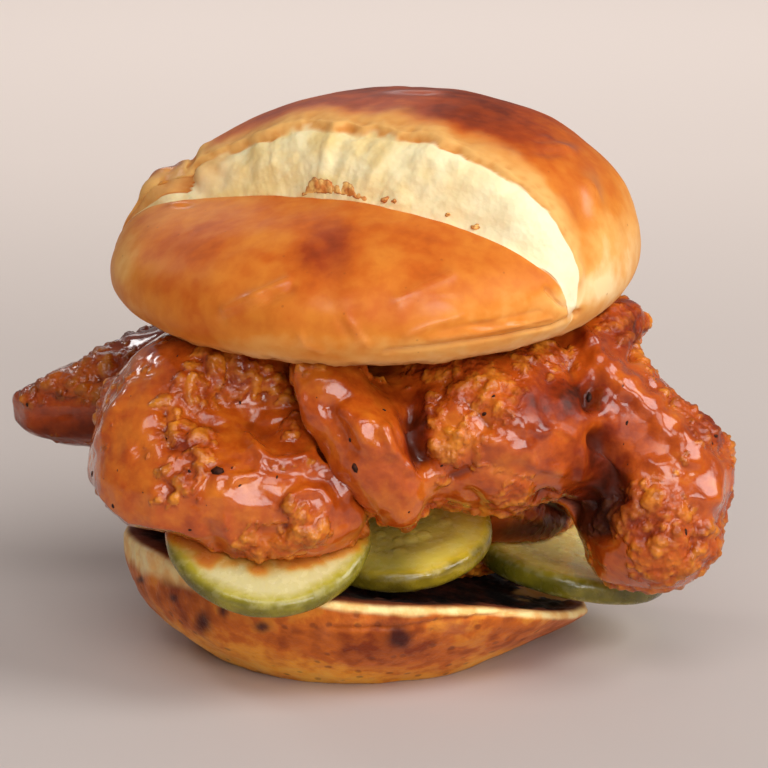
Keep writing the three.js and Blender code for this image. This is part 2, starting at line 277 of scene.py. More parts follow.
# Material helpers
def colour(red, green, blue):
    def linear(value):
        value /= 255
        return value / 12.92 if value <= 0.04045 else ((value + 0.055) / 1.055) ** 2.4
    return (linear(red), linear(green), linear(blue), 1)


def shadesOf(colours):
    return {name: colour(*shade) for name, shade in colours.items()}


def feed(tree, node, inputs):  # each input gets a link or a value
    for name, value in inputs.items():
        if isinstance(value, bpy.types.NodeSocket):
            tree.links.new(value, node.inputs[name])
        else:
            node.inputs[name].default_value = value


def addNode(tree, kind, inputs, **settings):
    made = tree.nodes.new(kind)
    for name, value in settings.items():
        setattr(made, name, value)
    feed(tree, made, inputs)
    return made


def mixColour(tree, factor, first, second):
    return addNode(tree, "ShaderNodeMix", {0: factor, 6: first, 7: second}, data_type="RGBA").outputs[2]


def calculate(tree, operation, *values):
    return addNode(tree, "ShaderNodeMath", dict(enumerate(values)), operation=operation).outputs[0]


def times(tree, first, second):
    return calculate(tree, "MULTIPLY", first, second)


def timesPlus(tree, first, second, third):
    return calculate(tree, "MULTIPLY_ADD", first, second, third)


def remap(tree, value, low, high, toLow=0.0, toHigh=1.0):
    inputs = {"Value": value, "From Min": low, "From Max": high, "To Min": toLow, "To Max": toHigh}
    return addNode(tree, "ShaderNodeMapRange", inputs, interpolation_type="SMOOTHSTEP").outputs[0]


def mask(tree, name):
    return addNode(tree, "ShaderNodeAttribute", {}, attribute_name=name).outputs["Fac"]


def noiseNode(tree, where, scale, detail):
    inputs = {"Vector": where, "Scale": scale, "Detail": detail}
    return addNode(tree, "ShaderNodeTexNoise", inputs).outputs["Fac"]


def cellNode(tree, where, scale, **settings):
    return addNode(tree, "ShaderNodeTexVoronoi", {"Vector": where, "Scale": scale}, **settings)


def ramp(tree, value, stops):
    made = addNode(tree, "ShaderNodeValToRGB", {"Fac": value})
    elements = made.color_ramp.elements
    while len(elements) < len(stops):
        elements.new(0.5)
    for element, (position, shade) in zip(elements, stops):
        element.position = position
        element.color = shade
    return made.outputs["Color"]


def newGroup(name, inputs, outputs):
    group = bpy.data.node_groups.new(name, "ShaderNodeTree")
    for label, kind, value in inputs:
        socket = group.interface.new_socket(label, in_out="INPUT", socket_type=kind)
        if value is not None:
            socket.default_value = value
    for label in outputs:
        group.interface.new_socket(label, in_out="OUTPUT", socket_type="NodeSocketFloat")
    return group, group.nodes.new("NodeGroupInput"), group.nodes.new("NodeGroupOutput")


def makeMottleGroup():  # soft patches of a given size, 0 to 1
    group, source, result = newGroup("Mottle", [
        ("Vector", "NodeSocketVector", None),
        ("Scale", "NodeSocketFloat", 100.0),
        ("Low", "NodeSocketFloat", 0.35),
        ("High", "NodeSocketFloat", 0.65),
    ], ["Mask"])
    pattern = noiseNode(group, source.outputs["Vector"], source.outputs["Scale"], 4)
    soft = remap(group, pattern, source.outputs["Low"], source.outputs["High"])
    group.links.new(soft, result.inputs["Mask"])
    return group


def makeDotGroup():  # scattered round dots, some of them left out
    group, source, result = newGroup("Dots", [
        ("Vector", "NodeSocketVector", None),
        ("Scale", "NodeSocketFloat", 300.0),
        ("Radius", "NodeSocketFloat", 0.25),
        ("Share", "NodeSocketFloat", 0.4),
    ], ["Mask"])
    cells = cellNode(group, source.outputs["Vector"], source.outputs["Scale"])
    inner = times(group, source.outputs["Radius"], 0.4)
    dot = remap(group, cells.outputs["Distance"], source.outputs["Radius"], inner)
    pick = addNode(group, "ShaderNodeSeparateColor", {"Color": cells.outputs["Color"]}).outputs["Red"]
    kept = calculate(group, "LESS_THAN", pick, source.outputs["Share"])
    group.links.new(times(group, dot, kept), result.inputs["Mask"])
    return group


mottleGroup = makeMottleGroup()
dotGroup = makeDotGroup()


def mottle(tree, where, scale, low, high):
    inputs = {"Vector": where, "Scale": scale, "Low": low, "High": high}
    return addGroup(tree, mottleGroup, inputs)


def dots(tree, where, scale, radius, share):
    inputs = {"Vector": where, "Scale": scale, "Radius": radius, "Share": share}
    return addGroup(tree, dotGroup, inputs)


def addGroup(tree, group, inputs):
    made = tree.nodes.new("ShaderNodeGroup")
    made.node_tree = group
    feed(tree, made, inputs)
    return made.outputs[0]


def startMaterial(name):
    material = bpy.data.materials.new(name)
    material.use_nodes = True
    tree = material.node_tree
    where = addNode(tree, "ShaderNodeTexCoord", {}).outputs["Object"]
    return material, tree, tree.nodes["Principled BSDF"], where


def setBump(tree, shader, height, strength, distance):
    inputs = {"Height": height, "Strength": strength, "Distance": distance}
    feed(tree, shader, {"Normal": addNode(tree, "ShaderNodeBump", inputs).outputs["Normal"]})


# Heel: a shallow bowl of crust with a charred cut face
heelValues = {
    "baseRadius": 32.5,
    "rimRadius": 49.7,
    "rimShift": 0.8,
    "height": 15.4,
    "slantRight": 0.165,
    "slantBack": 0.13,
    "frontCurl": 2.6,
    "curlTurn": 0.95,  # where the rim curls most, in radians
    "sideRounding": (1.25, 2.3),
    "edgeRounding": 1.6,
    "segments": 320,
    "rings": 170,
    "blister": (399, 636, 12, 10),
    "glints": [
        (147, 554, 6, 10, 1), (453, 628, 16, 8, 1), (325, 632, 8, 8, 0.8), (150, 570, 10, 14, 0.5),
        (400, 622, 60, 4, 0.8),
    ],
    "beigePatches": [(545, 591, 30, 8), (575, 597, 18, 5)],
    "darkDots": [
        (140, 580, 4, 4), (173, 598, 5, 4), (203, 622, 9, 12), (262, 627, 8, 6), (223, 610, 5, 8),
    ],
    "rimFold": [(330, 628), (393, 628), (443, 622), (515, 612), (570, 600)],
}
heelColours = {
    "pale": (255, 188, 74), "golden": (246, 164, 54), "brown": (204, 104, 30), "dark": (138, 54, 14),
    "freckle": (104, 46, 24), "burnt": (74, 26, 18), "cream": (255, 226, 156), "butter": (246, 190, 112),
    "char": (14, 8, 7), "charBrown": (70, 32, 20), "beige": (206, 158, 92), "singed": (122, 58, 30),
}


def cutFace(x, y):
    return heelValues["height"] - heelValues["slantRight"] * x - heelValues["slantBack"] * y


def heelRim(turn):
    x = heelValues["rimRadius"] * np.cos(turn) + heelValues["rimShift"]
    y = heelValues["rimRadius"] * np.sin(turn)
    curl = heelValues["frontCurl"] * np.maximum(0, np.cos(turn + heelValues["curlTurn"])) ** 4
    around = np.stack([2.2 * np.cos(turn), 2.2 * np.sin(turn), np.full_like(turn, 9)], 1)
    return cutFace(x, y) + curl + 0.6 * noise(around, 1, 5)


def heelWall(height, turn):
    leftward = (1 - np.cos(turn)) / 2
    up = np.clip(height / (mix(1, 0.8, leftward) * heelRim(turn)), 0, 1)
    flare = 1 - (1 - up) ** mix(*heelValues["sideRounding"], leftward)
    around = np.stack([3 * np.cos(turn) + 5, 3 * np.sin(turn), height / 11], 1)
    dent = 0.9 * noise(around, 1, 4) * up
    return mix(heelValues["baseRadius"], heelValues["rimRadius"], flare) + dent


def makeHeel():
    v = heelValues
    piece, down, turnDegrees = startBall("heel_bread", v["segments"], v["rings"])
    along = 1 - down / 180  # 0 in the middle underneath, 1 in the middle on top
    turn = np.radians(turnDegrees)
    underEnd, wallEnd, edgeEnd = 0.08, 0.52, 0.6
    under = np.clip(along / underEnd, 0, 1)
    side = np.clip((along - underEnd) / (wallEnd - underEnd), 0, 1)
    bend = np.clip((along - wallEnd) / (edgeEnd - wallEnd), 0, 1) * math.pi / 2
    inward = np.clip((along - edgeEnd) / (1 - edgeEnd), 0, 1)
    rim = heelRim(turn)
    wallHeight = (rim - v["edgeRounding"]) * side ** 1.25
    wallRadius = heelWall(wallHeight, turn)
    outer = heelWall(rim - v["edgeRounding"], turn) - v["edgeRounding"]
    radius = np.where(along < underEnd, v["baseRadius"] * under, wallRadius)
    radius = np.where(along > wallEnd, outer + v["edgeRounding"] * np.cos(bend), radius)
    radius = np.where(along > edgeEnd, outer * (1 - inward), radius)
    shift = v["rimShift"] * side
    x = radius * np.cos(turn) + shift
    y = radius * np.sin(turn)
    z = np.where(along > wallEnd, rim - v["edgeRounding"] * (1 - np.sin(bend)), wallHeight)
    z = np.where(along > edgeEnd, mix(rim, cutFace(x, y), np.clip(4 * inward, 0, 1)), z)
    points = np.stack([x, y, z], 1)
    writePoints(piece, points)
    recalculateNormals(piece)

    normals = readNormals(piece)
    pixels = pixelOf(points)
    front = smooth(0.1, 0.3, -normals[:, 1])
    onFace = smooth(wallEnd + 0.03, edgeEnd + 0.01, along)
    onWall = (1 - onFace) * smooth(underEnd * 0.6, underEnd * 1.4, along)
    # Toasted crumb: pitted all over, with blisters of char; crust: shallow dimples and creases
    crumb = 0.45 * fractal(points, 6, 60) + 0.35 * np.abs(fractal(points, 2.2, 63))
    crumb = crumb - 0.5 * grains(points, 3, 66)
    crust = 0.34 * fractal(points, 9, 70) - 0.14 * grains(points, 2.4, 73, 0.15, 0.5)
    creases = smooth(0.72, 1, 1 - np.abs(noise(points * [1, 1, 0.35], 5.5, 76)))
    creases = -0.35 * creases * smooth(0.35, 0.9, side)
    blister = spotFalloff(pixels, *v["blister"]) * front * onWall
    fold = strokeFalloff(pixels, v["rimFold"], 2.2) * front * onWall
    lift = onFace * crumb * smooth(0, 0.06, inward) + onWall * (crust + creases)
    lift = lift + 0.5 * blister - 0.5 * fold
    points = points + normals * lift[:, None]
    points[:, 2] = np.maximum(points[:, 2], 0)
    writePoints(piece, points)

    turnFront = np.cos(turn + heelValues["curlTurn"])  # 1 at the front, right of the middle
    rimDown = rim - points[:, 2]
    bandWidth = 0.8 + 1.1 * smooth(-0.2, 0.9, turnFront) + 5.2 * smooth(0.5, 1, -np.cos(turn - 0.3))
    band = onWall * (1 - smooth(0.55, 1.15, rimDown / bandWidth + 0.18 * fractal(points, 5, 80)))
    beige = sum(spotFalloff(pixels, *spot) for spot in v["beigePatches"]) * onFace
    beigeNoise = smooth(0.35, 0.6, beige + 0.35 * fractal(points, 4, 83))
    darkDots = sum(spotFalloff(pixels, *spot) for spot in v["darkDots"]) * onWall * front
    # The crust is paler low on the wall, somewhat paler near the rim, and paler towards the right end
    upWall = np.clip(points[:, 2] / rim, 0, 1)
    golden = 1 - 0.4 * smooth(12, 46, points[:, 0])
    writeMasks(
        piece,
        face=onFace,
        band=band,
        height=smooth(0.06, 0.6, upWall) * mix(1, 0.75, smooth(0.6, 1, upWall)) * golden,
        singed=onFace * (1 - smooth(0.01, 0.09, inward + 0.02 * fractal(points, 5, 86))),
        beige=beigeNoise * onFace,
        burnt=np.clip(darkDots + 1.2 * blister, 0, 1),
        gloss=np.clip(spotSum(pixels, v["glints"]) * onWall * front, 0, 1),
    )
    return piece


def makeHeelMaterial():
    shades = shadesOf(heelColours)
    material, tree, shader, where = startMaterial("toasted heel")
    height = mask(tree, "height")
    patches = mottle(tree, where, 70, 0.38, 0.62)
    fine = mottle(tree, where, 260, 0.4, 0.66)
    bake = timesPlus(tree, patches, 0.32, times(tree, height, 0.5))
    bake = timesPlus(tree, fine, 0.2, bake)
    crust = ramp(tree, bake, [
        (0.05, shades["pale"]), (0.3, shades["golden"]),
        (0.58, shades["brown"]), (0.95, shades["dark"]),
    ])
    freckles = dots(tree, where, 330, 0.33, 0.42)
    crust = mixColour(tree, times(tree, freckles, 0.5), crust, shades["freckle"])
    cream = mixColour(tree, fine, shades["cream"], shades["butter"])
    crust = mixColour(tree, mask(tree, "band"), crust, cream)
    crust = mixColour(tree, mask(tree, "burnt"), crust, shades["burnt"])
    blotch = mottle(tree, where, 190, 0.42, 0.72)
    char = mixColour(tree, blotch, shades["char"], shades["charBrown"])
    char = mixColour(tree, mask(tree, "beige"), char, shades["beige"])
    char = mixColour(tree, times(tree, mask(tree, "singed"), 0.8), char, shades["singed"])
    base = mixColour(tree, mask(tree, "face"), crust, char)
    rough = remap(tree, mask(tree, "face"), 0.0, 1.0, 0.36, 0.62)
    feed(tree, shader, {
        "Base Color": base, "Roughness": timesPlus(tree, fine, 0.14, rough),
        "Specular IOR Level": 0.22, "Coat Roughness": 0.2,
        "Coat Weight": times(tree, mask(tree, "gloss"), 0.6),
    })
    grit = noiseNode(tree, where, 1100, 5)
    heights = calculate(tree, "SUBTRACT", grit, times(tree, freckles, 0.6))
    setBump(tree, shader, heights, 0.35, 0.0006)
    return material


# Pickles: crinkle-free slices with a firm skin, a pale ring and a seeded middle
pickleValues = {
    "left": {
        "at": (-17.8, -37, 33.8), "radius": 20.4, "thick": 4, "tips": (27, 0), "sags": (0.6, 3),
        "seed": 3, "sauceReach": 3.6, "paintedShadeSpots": [(190, 590, 30, 16, 0.35)],
    },
    "middle": {
        "at": (9.5, -20.5, 29), "radius": 18.8, "thick": 4.8, "tips": (18, -5), "sags": (1, 0),
        "seed": 5, "sauceReach": 0.6,
        "paintedShadeSpots": [(378, 576, 44, 20, 0.6), (400, 522, 40, 10, 0.4), (395, 550, 24, 18, 0.3)],
    },
    "right": {
        "at": (45.5, -1, 16.9), "radius": 20.5, "thick": 5, "tips": (2, 10), "sags": (0.6, 0),
        "seed": 8, "sauceReach": 0.6, "paintedShadeSpots": [(650, 594, 34, 14, 0.6)],
    },
    "flatEnd": 62,  # degrees down the ball to where the flat face ends
    "squareness": 0.8,
}
pickleColours = {
    "all": {
        "seed": (130, 110, 40), "fibre": (250, 240, 180), "dim": (64, 52, 12),
        "thinSauce": (216, 186, 84), "sauce": (212, 150, 42), "thickSauce": (200, 104, 22),
    },
    "left": {
        "heart": (204, 188, 132), "flesh": (214, 200, 142),
        "ring": (180, 164, 48), "skin": (116, 106, 24),
    },
    "middle": {
        "heart": (242, 214, 92), "flesh": (252, 226, 96),
        "ring": (226, 194, 48), "skin": (120, 100, 22),
    },
    "right": {
        "heart": (255, 238, 148), "flesh": (250, 232, 122),
        "ring": (176, 158, 40), "skin": (98, 90, 20),
    },
}


def makePickle(side):
    v = pickleValues[side]
    piece, down, turnDegrees = startBall("pickle_slice_" + side, 176, 110)
    turn = np.radians(turnDegrees)
    half, edge = v["thick"] / 2, v["thick"] * 0.46
    flatEnd, squareness = pickleValues["flatEnd"], pickleValues["squareness"]
    onFace = np.clip(np.minimum(down, 180 - down) / flatEnd, 0, 1)
    bend = np.radians(np.clip((down - flatEnd) / (180 - 2 * flatEnd), 0, 1) * 180)
    radius = (v["radius"] - edge) * onFace + edge * np.sin(bend) ** squareness
    rise = np.sign(np.cos(bend)) * np.abs(np.cos(bend)) ** squareness * half
    outward = radius / v["radius"]
    # Seeds lie round the middle in a slack ring; the skin is a little lumpy
    cosine, sine = np.cos(turn), np.sin(turn)
    spokes = np.stack([cosine * 3.2, sine * 3.2, outward * 3], 1)
    seedZone = smooth(0.08, 0.2, outward) * (1 - smooth(0.5, 0.66, outward))
    spread = np.stack([cosine * outward * 6, sine * outward * 6, 0 * turn + v["seed"] * 7], 1)
    seedShapes = grains(spread, 1.1, v["seed"], 0.25, 0.5)
    hollow = 0.4 * (1 - smooth(0.42, 0.66, outward + 0.05 * noise(spokes, 1.4, v["seed"] + 1)))
    spokeLift = 0.06 * noise(spokes, 0.5, v["seed"]) * smooth(0.3, 0.7, outward)
    seeds = 0.3 * seedZone * seedShapes - hollow + spokeLift
    skin = 0.16 * noise(np.stack([cosine, sine, rise / 14], 1), 0.16, v["seed"] + 2)
    faceSide = smooth(0.2, 0.9, np.abs(rise) / half)
    rise = rise + np.sign(rise) * seeds * faceSide * (rise > 0)
    radius = radius + skin * smooth(0.85, 1, outward)
    x, y = radius * cosine, radius * sine
    oval = 1 + 0.025 * np.cos(2 * turn + v["at"][0]) * outward
    sag = (v["sags"][0] * x * x + v["sags"][1] * y * y) / v["radius"] ** 2
    flatPoints = np.stack([x * oval, y * oval, rise - sag], 1)
    tipForward, tipSideways = (math.radians(tip) for tip in v["tips"])
    tilt = Matrix.Rotation(tipSideways, 3, "Y") @ Matrix.Rotation(tipForward, 3, "X")
    points = flatPoints @ np.array(tilt).T + v["at"]
    fromMiddle = np.hypot(points[:, 0] - heelValues["rimShift"], points[:, 1])
    overHeel = fromMiddle < heelValues["rimRadius"] - 2
    floorHeight = cutFace(points[:, 0], points[:, 1]) + 0.35
    points[:, 2] = np.where(overHeel, np.maximum(points[:, 2], floorHeight), points[:, 2])
    writePoints(piece, points)
    recalculateNormals(piece)
    writeMasks(
        piece,
        outward=np.clip(outward, 0, 1.1),
        faceSide=faceSide,
        seeds=np.clip(seedZone * seedShapes, 0, 1),
        # painted shade: darker where the slice lies in shade under the chicken
        dim=np.clip(spotSum(pixelOf(points), v["paintedShadeSpots"]), 0, 1),
    )
    return piece


def makePickleMaterial(side):
    shades = shadesOf({**pickleColours["all"], **pickleColours[side]})
    material, tree, shader, where = startMaterial("pickle " + side)
    outward, faceSide = mask(tree, "outward"), mask(tree, "faceSide")
    wander = noiseNode(tree, where, 210, 3)
    outwardUneven = timesPlus(tree, calculate(tree, "SUBTRACT", wander, 0.5), 0.12, outward)
    flesh = ramp(tree, outwardUneven, [
        (0.0, shades["heart"]), (0.58, shades["heart"]), (0.72, shades["flesh"]),
        (0.82, shades["flesh"]), (0.92, shades["ring"]), (1.0, shades["skin"]),
    ])
    seedShade = mixColour(tree, 0.5, shades["heart"], shades["seed"])
    seedMask = remap(tree, mask(tree, "seeds"), 0.1, 0.6, 0.35, 0.0)
    seedRing = remap(tree, outward, 0.66, 0.45)
    flesh = mixColour(tree, times(tree, seedMask, seedRing), flesh, seedShade)
    fibres = mottle(tree, where, 480, 0.35, 0.7)
    flesh = mixColour(tree, times(tree, fibres, 0.14), flesh, shades["fibre"])
    skinPatches = mottle(tree, where, 150, 0.35, 0.68)
    skin = mixColour(tree, times(tree, skinPatches, 0.45), shades["skin"], shades["ring"])
    base = mixColour(tree, remap(tree, faceSide, 0.15, 0.75), skin, flesh)
    # Painted shade: the slice colour is darkened where it lies in shade
    base = mixColour(tree, mask(tree, "dim"), base, shades["dim"])
    sauce = mask(tree, "sauce")
    sauceFilm = ramp(tree, sauce, [
        (0.0, shades["thinSauce"]), (0.5, shades["sauce"]), (1.0, shades["thickSauce"]),
    ])
    base = mixColour(tree, remap(tree, sauce, 0.0, 0.8, 0.0, 0.92), base, sauceFilm)
    feed(tree, shader, {
        "Base Color": base, "Roughness": remap(tree, fibres, 0.0, 1.0, 0.16, 0.34),
        "Subsurface Weight": 0.35, "Subsurface Radius": (1.0, 0.9, 0.3), "Subsurface Scale": 0.003,
        "Coat Weight": 0.12, "Coat Roughness": 0.16,
    })
    ripples = noiseNode(tree, where, 700, 4)
    warts = times(tree, dots(tree, where, 420, 0.5, 0.5), remap(tree, faceSide, 0.6, 0.1))
    setBump(tree, shader, timesPlus(tree, warts, 0.5, ripples), 0.25, 0.0006)
    return material


# Crown: a glazed dome, burst open along its top
crownValues = {
    "centre": (3.5, 0, 83.5),
    "radius": 55,
    "capHeight": 32.2,
    "cheekHeight": 18.8,
    "depth": 9.9,
    "cutSlant": 0.03,
    "cutRadius": 47,
    "leanForward": 4,
    "leanLeft": 2.8,
    "leftEnd": (-51, 10, 0),
    "rightEnd": (40, -38, -7.5),
    "lipAngle": 71,
    "capAngle": 96,
    "lipDepth": 2.6,
    "capDepth": 3,
    "smallPieceEnd": 24,  # degrees along the split where the small low piece of crust ends
    "smallPieceCrack": 12,  # degrees of crumb that show between it and the lip
    "tornBandWidth": 17,
    "marksReach": 26,  # how far back the swells and facets reach, in millimetres
    "segments": 380,
    "rings": 230,
    "brownPatches": [
        (198, 248, 42, 26, 0.5), (330, 250, 38, 34, 0.75), (267, 257, 9, 7, 0.35),
        (250, 215, 60, 16, 0.2), (175, 285, 40, 16, 0.25), (395, 235, 40, 16, 0.15),
        (120, 262, 10, 18, -0.1),
    ],
    "palePatches": [
        (615, 255, 26, 45, 0.5), (124, 256, 16, 32, 0.3), (590, 290, 26, 16, 0.5),
        (560, 300, 20, 12, 0.25), (500, 300, 55, 30, 0.22), (300, 345, 120, 12, 0.22),
        (150, 205, 22, 12, 0.25), (470, 345, 70, 8, 0.12),
    ],
    "creases": [
        ([(385, 351), (440, 345), (500, 337), (550, 327), (580, 313)], 1.8, -0.5),
        ([(430, 339), (480, 333), (520, 325), (550, 318)], 2.2, 0.28),
        ([(405, 336), (430, 325), (462, 316)], 3.0, 0.3),
        ([(440, 331), (500, 320), (540, 311)], 2.0, -0.2),
        ([(225, 310), (255, 296), (287, 281)], 5.0, 0.55),
        ([(222, 318), (255, 305), (290, 290)], 5.0, -0.4),
        ([(347, 318), (357, 332), (367, 345)], 3.5, 0.28), ([(340, 322), (349, 338)], 3.0, -0.2),
        ([(400, 300), (425, 286), (450, 275)], 7.0, 0.4),
        ([(325, 225), (332, 262), (330, 300)], 16.0, -0.3),
        ([(300, 335), (306, 345), (322, 352)], 3.0, 0.35),
        ([(548, 290), (562, 305), (578, 314)], 3.0, -0.9), ([(556, 297), (568, 309)], 1.6, 0.5),
    ],
    "facets": [
        (588, 200, 13, 30, 0.6, 0), (556, 150, 20, 7, 0.6, 0), (542, 139, 8, 3, 0.5, 0),
        (173, 176, 20, 8, 1.0, 3), (438, 303, 20, 11, 0.5, 4), (262, 297, 16, 6, 0.5, 4),
        (360, 338, 8, 9, 0.5, 4), (180, 205, 12, 3, 0.5, 1), (420, 92, 34, 2.5, 0.5, 1),
        (304, 344, 9, 5, 0.4, 4), (500, 326, 26, 4, 0.5, 4),
    ],
    "swells": [(160, 188, 24, 13, 1.9), (188, 173, 14, 10, 2.0)],
}
crownColours = {
    "pale": (250, 214, 156), "straw": (238, 172, 92), "golden": (222, 132, 46),
    "copper": (202, 98, 28), "brown": (166, 66, 22), "dark": (118, 42, 18), "speck": (150, 74, 30),
    "crumb": (238, 206, 138), "crumbPale": (248, 230, 180), "crumbRecessShade": (232, 184, 106),
    "crumbRight": (255, 245, 208), "torn": (206, 134, 62), "tornPale": (234, 180, 106),
    "cut": (206, 140, 72), "cutBrown": (150, 84, 38),
}


def crownAxes():
    left, right = np.array(crownValues["leftEnd"], float), np.array(crownValues["rightEnd"], float)
    lengthways = (right - left) / np.linalg.norm(right - left)
    frontwards = np.array([lengthways[1], -lengthways[0], 0])
    frontwards /= np.linalg.norm(frontwards)
    return (left + right) / 2, lengthways, frontwards, -np.cross(lengthways, frontwards)


def crownHeight(angle, along, lipEdge, capEdge):
    v = crownValues
    cheek = v["cheekHeight"]
    opened = smooth(0, 10, np.minimum(along, 180 - along))
    leftPiece = 1 - smooth(24.5, 31, along)
    roundedCap = v["capHeight"] * mix(0.87, 1, smooth(28, 80, along))
    cap = mix(roundedCap, cheek + 5, leftPiece)
    crumbFoot = cheek - v["lipDepth"] * opened
    crumbHead = cap - v["capDepth"] * opened
    crumb = mix(crumbFoot, crumbHead, smooth(lipEdge, capEdge, angle) ** 0.8)
    sunkenCap = cap - 0.4 * v["capDepth"] * opened
    capTop = mix(sunkenCap, cap, smooth(v["capAngle"], v["capAngle"] + 30, angle))
    height = mix(cheek, crumb, smooth(lipEdge - 1.3, lipEdge + 0.5, angle))
    return mix(height, capTop, smooth(capEdge - 0.3, capEdge + 1.8, angle))


def crownInside(points, height):
    v = crownValues
    out = np.hypot(points[:, 0], points[:, 1]) / v["radius"]
    z = points[:, 2]
    above = out ** 2.15 + (np.maximum(z, 0) / height) ** 2.15 - 1
    down = np.maximum(-z, 0) / (v["depth"] + v["cutSlant"] * points[:, 0])
    inward = (1 - v["cutRadius"] / v["radius"]) * down ** 2.6
    flatEdge = 0.02  # softens the corner between the side and the cut underside
    side, under = out + inward - 1, down - 1
    below = np.maximum(side, under) + flatEdge * np.exp(-np.abs(side - under) / flatEdge) / 2
    return np.where(z >= 0, above, below)


def makeCrown():
    v = crownValues
    piece, down, turn = startBall("crown_bun", v["segments"], v["rings"])
    lip, cap = v["lipAngle"], v["capAngle"]
    # More of the ball's segments go to the split than to the rest
    share = np.array([0, 0.17, 0.2, 0.42, 0.46, 0.62, 1]) * 360
    angle = np.interp(turn, share, [0, lip - 3, lip + 1, cap - 1, cap + 4, 180, 360])
    along = np.interp(down, [0, 30, 180], [0, 34, 180])
    flatWander = np.stack([along / 4, 0 * along, 0 * along], 1)
    lipEdge = lip + 0.5 * noise(flatWander * 0.6, 1, 90)
    capEdge = cap + 1.5 * noise(flatWander * 0.8, 1, 93)
    middle, lengthways, frontwards, upwards = crownAxes()
    a, b = np.radians(angle), np.radians(along)
    ray = -np.cos(b)[:, None] * lengthways
    ray = ray + np.sin(b)[:, None] * (np.cos(a)[:, None] * frontwards + np.sin(a)[:, None] * upwards)
    height = crownHeight(angle, along, lipEdge, capEdge)
    near, far = np.zeros(len(ray)), np.full(len(ray), v["radius"] * 3.0)
    for _ in range(40):
        reach = (near + far) / 2
        inside = crownInside(middle + ray * reach[:, None], height) < 0
        near, far = np.where(inside, reach, near), np.where(inside, far, reach)
    local = middle + ray * near[:, None]
    dent = 0.7 * noise(local, 17, 2) * smooth(-v["depth"], 0, local[:, 2])
    local = local + local / np.linalg.norm(local, axis=1)[:, None] * dent[:, None]
    place = Matrix.Translation(v["centre"]) @ Matrix.Rotation(math.radians(v["leanForward"]), 4, "X")
    place = np.array(place @ Matrix.Rotation(math.radians(-v["leanLeft"]), 4, "Y"))
    points = local @ place[:3, :3].T + place[:3, 3]
    writePoints(piece, points)
    recalculateNormals(piece)

    points = neighbourMean(piece, points, 2)
    writePoints(piece, points)
    pixels = pixelOf(points)
    normals = readNormals(piece)
    swell = spotSum(pixels, v["swells"]) * smooth(-10, 5, v["marksReach"] - points[:, 1])
    swell = swell * smooth(lip - 2, lip + 6, angle)
    points = points + normals * swell[:, None]
    writePoints(piece, points)
    normals = readNormals(piece)
    frontHalf = smooth(-6, 6, v["marksReach"] - points[:, 1])
    frontHalf = frontHalf * smooth(-0.1, 0.15, -normals[:, 1] + 0.4 * normals[:, 2])
    points = turnFacets(piece, points, v["facets"], frontHalf)
    writePoints(piece, points)
    gloss = np.clip(spotSum(pixels, v["facets"]) * frontHalf * 1.6, 0, 1)
    normals = readNormals(piece)
    front = smooth(0.0, 0.25, -normals[:, 1] + 0.3 * normals[:, 2]) * smooth(-6, 6, 20 - points[:, 1])
    fromEnd = np.minimum(along, 180 - along)
    smallEnd = v["smallPieceEnd"]
    afterSmallPiece = smooth(smallEnd - 2, smallEnd + 2, along + 1.5 * fractal(points, 5, 97))
    crumbEnd = mix(lip + v["smallPieceCrack"], capEdge, afterSmallPiece)
    crumbEnd = crumbEnd + 0.9 * fractal(points, 3.5, 96, 3)
    crumb = smooth(lipEdge - 0.6, lipEdge + 0.4, angle) * smooth(1.5, 7, fromEnd)
    crumb = crumb * (1 - smooth(crumbEnd - 0.5, crumbEnd + 0.5, angle))
    leftCrumb = crumb * (1 - smooth(27, 46, along + 4 * fractal(points, 6, 99))) * afterSmallPiece
    leftCrumb = leftCrumb * smooth(lip + 4, capEdge - 2, angle + 3 * fractal(points, 4, 102))
    crumb = crumb - 0.65 * leftCrumb
    bandEnd = capEdge + v["tornBandWidth"] * (1 + 0.35 * fractal(points, 7, 98))
    tornBand = smooth(crumbEnd - 0.5, crumbEnd + 0.6, angle) * (1 - smooth(capEdge + 1, bandEnd, angle))
    capWall = smooth(22, 25, along) * (1 - smooth(30, 36, along)) * smooth(crumbEnd, crumbEnd + 2, angle)
    capWall = capWall * (1 - smooth(130, 140, angle))
    smallFront = smooth(crumbEnd, crumbEnd + 1, angle) * (1 - smooth(capEdge + 6, capEdge + 18, angle))
    smallFront = smallFront * (1 - afterSmallPiece) * smooth(6, 12, along) * 0.75
    capWall = np.maximum(capWall, smallFront)
    tornBand = tornBand * afterSmallPiece * smooth(4, 12, fromEnd)
    tornBand = np.maximum(tornBand, np.maximum(capWall, leftCrumb))
    cut = smooth(0.8, 0.95, -normals[:, 2]) * (local[:, 2] < -4)
    # Pulled crumb: fibres that run across the split, in soft clumps
    fibreSpace = np.stack([along * 0.9, angle * 0.16 + 0.06 * along, 0 * along], 1)
    fibres = 1 - np.abs(fractal(fibreSpace, 1.6, 100))
    clumps = fractal(points, 8, 103)
    tears = smooth(0.1, 0.7, fractal(fibreSpace * 0.45, 1, 106))
    pores = grains(points, 1.9, 109, 0.15, 0.5)
    crumbLift = 0.08 * (fibres - 0.6) + 0.8 * clumps - 0.08 * tears
    crumbLift = crumbLift + 0.06 * fractal(points, 1.6, 112) - 0.08 * pores
    tornLift = 0.7 * clumps + 0.25 * fractal(points, 4.5, 115, 3)
    tornLift = tornLift - 0.12 * grains(points, 2.6, 118, 0.2, 0.6)
    crustLift = 0.3 * fractal(points, 14, 121, 2) + 0.09 * fractal(points, 4.5, 124, 3)
    creases = strokeSum(pixels, v["creases"]) * front
    cutLift = 0.4 * fractal(points, 4, 130) - 0.4 * grains(points, 2.4, 133, 0.2, 0.6)
    plain = (1 - crumb) * (1 - tornBand) * (1 - cut)
    lift = crumb * crumbLift + tornBand * tornLift + cut * cutLift + plain * (crustLift + creases)
    points = points + normals * lift[:, None]
    writePoints(piece, points)

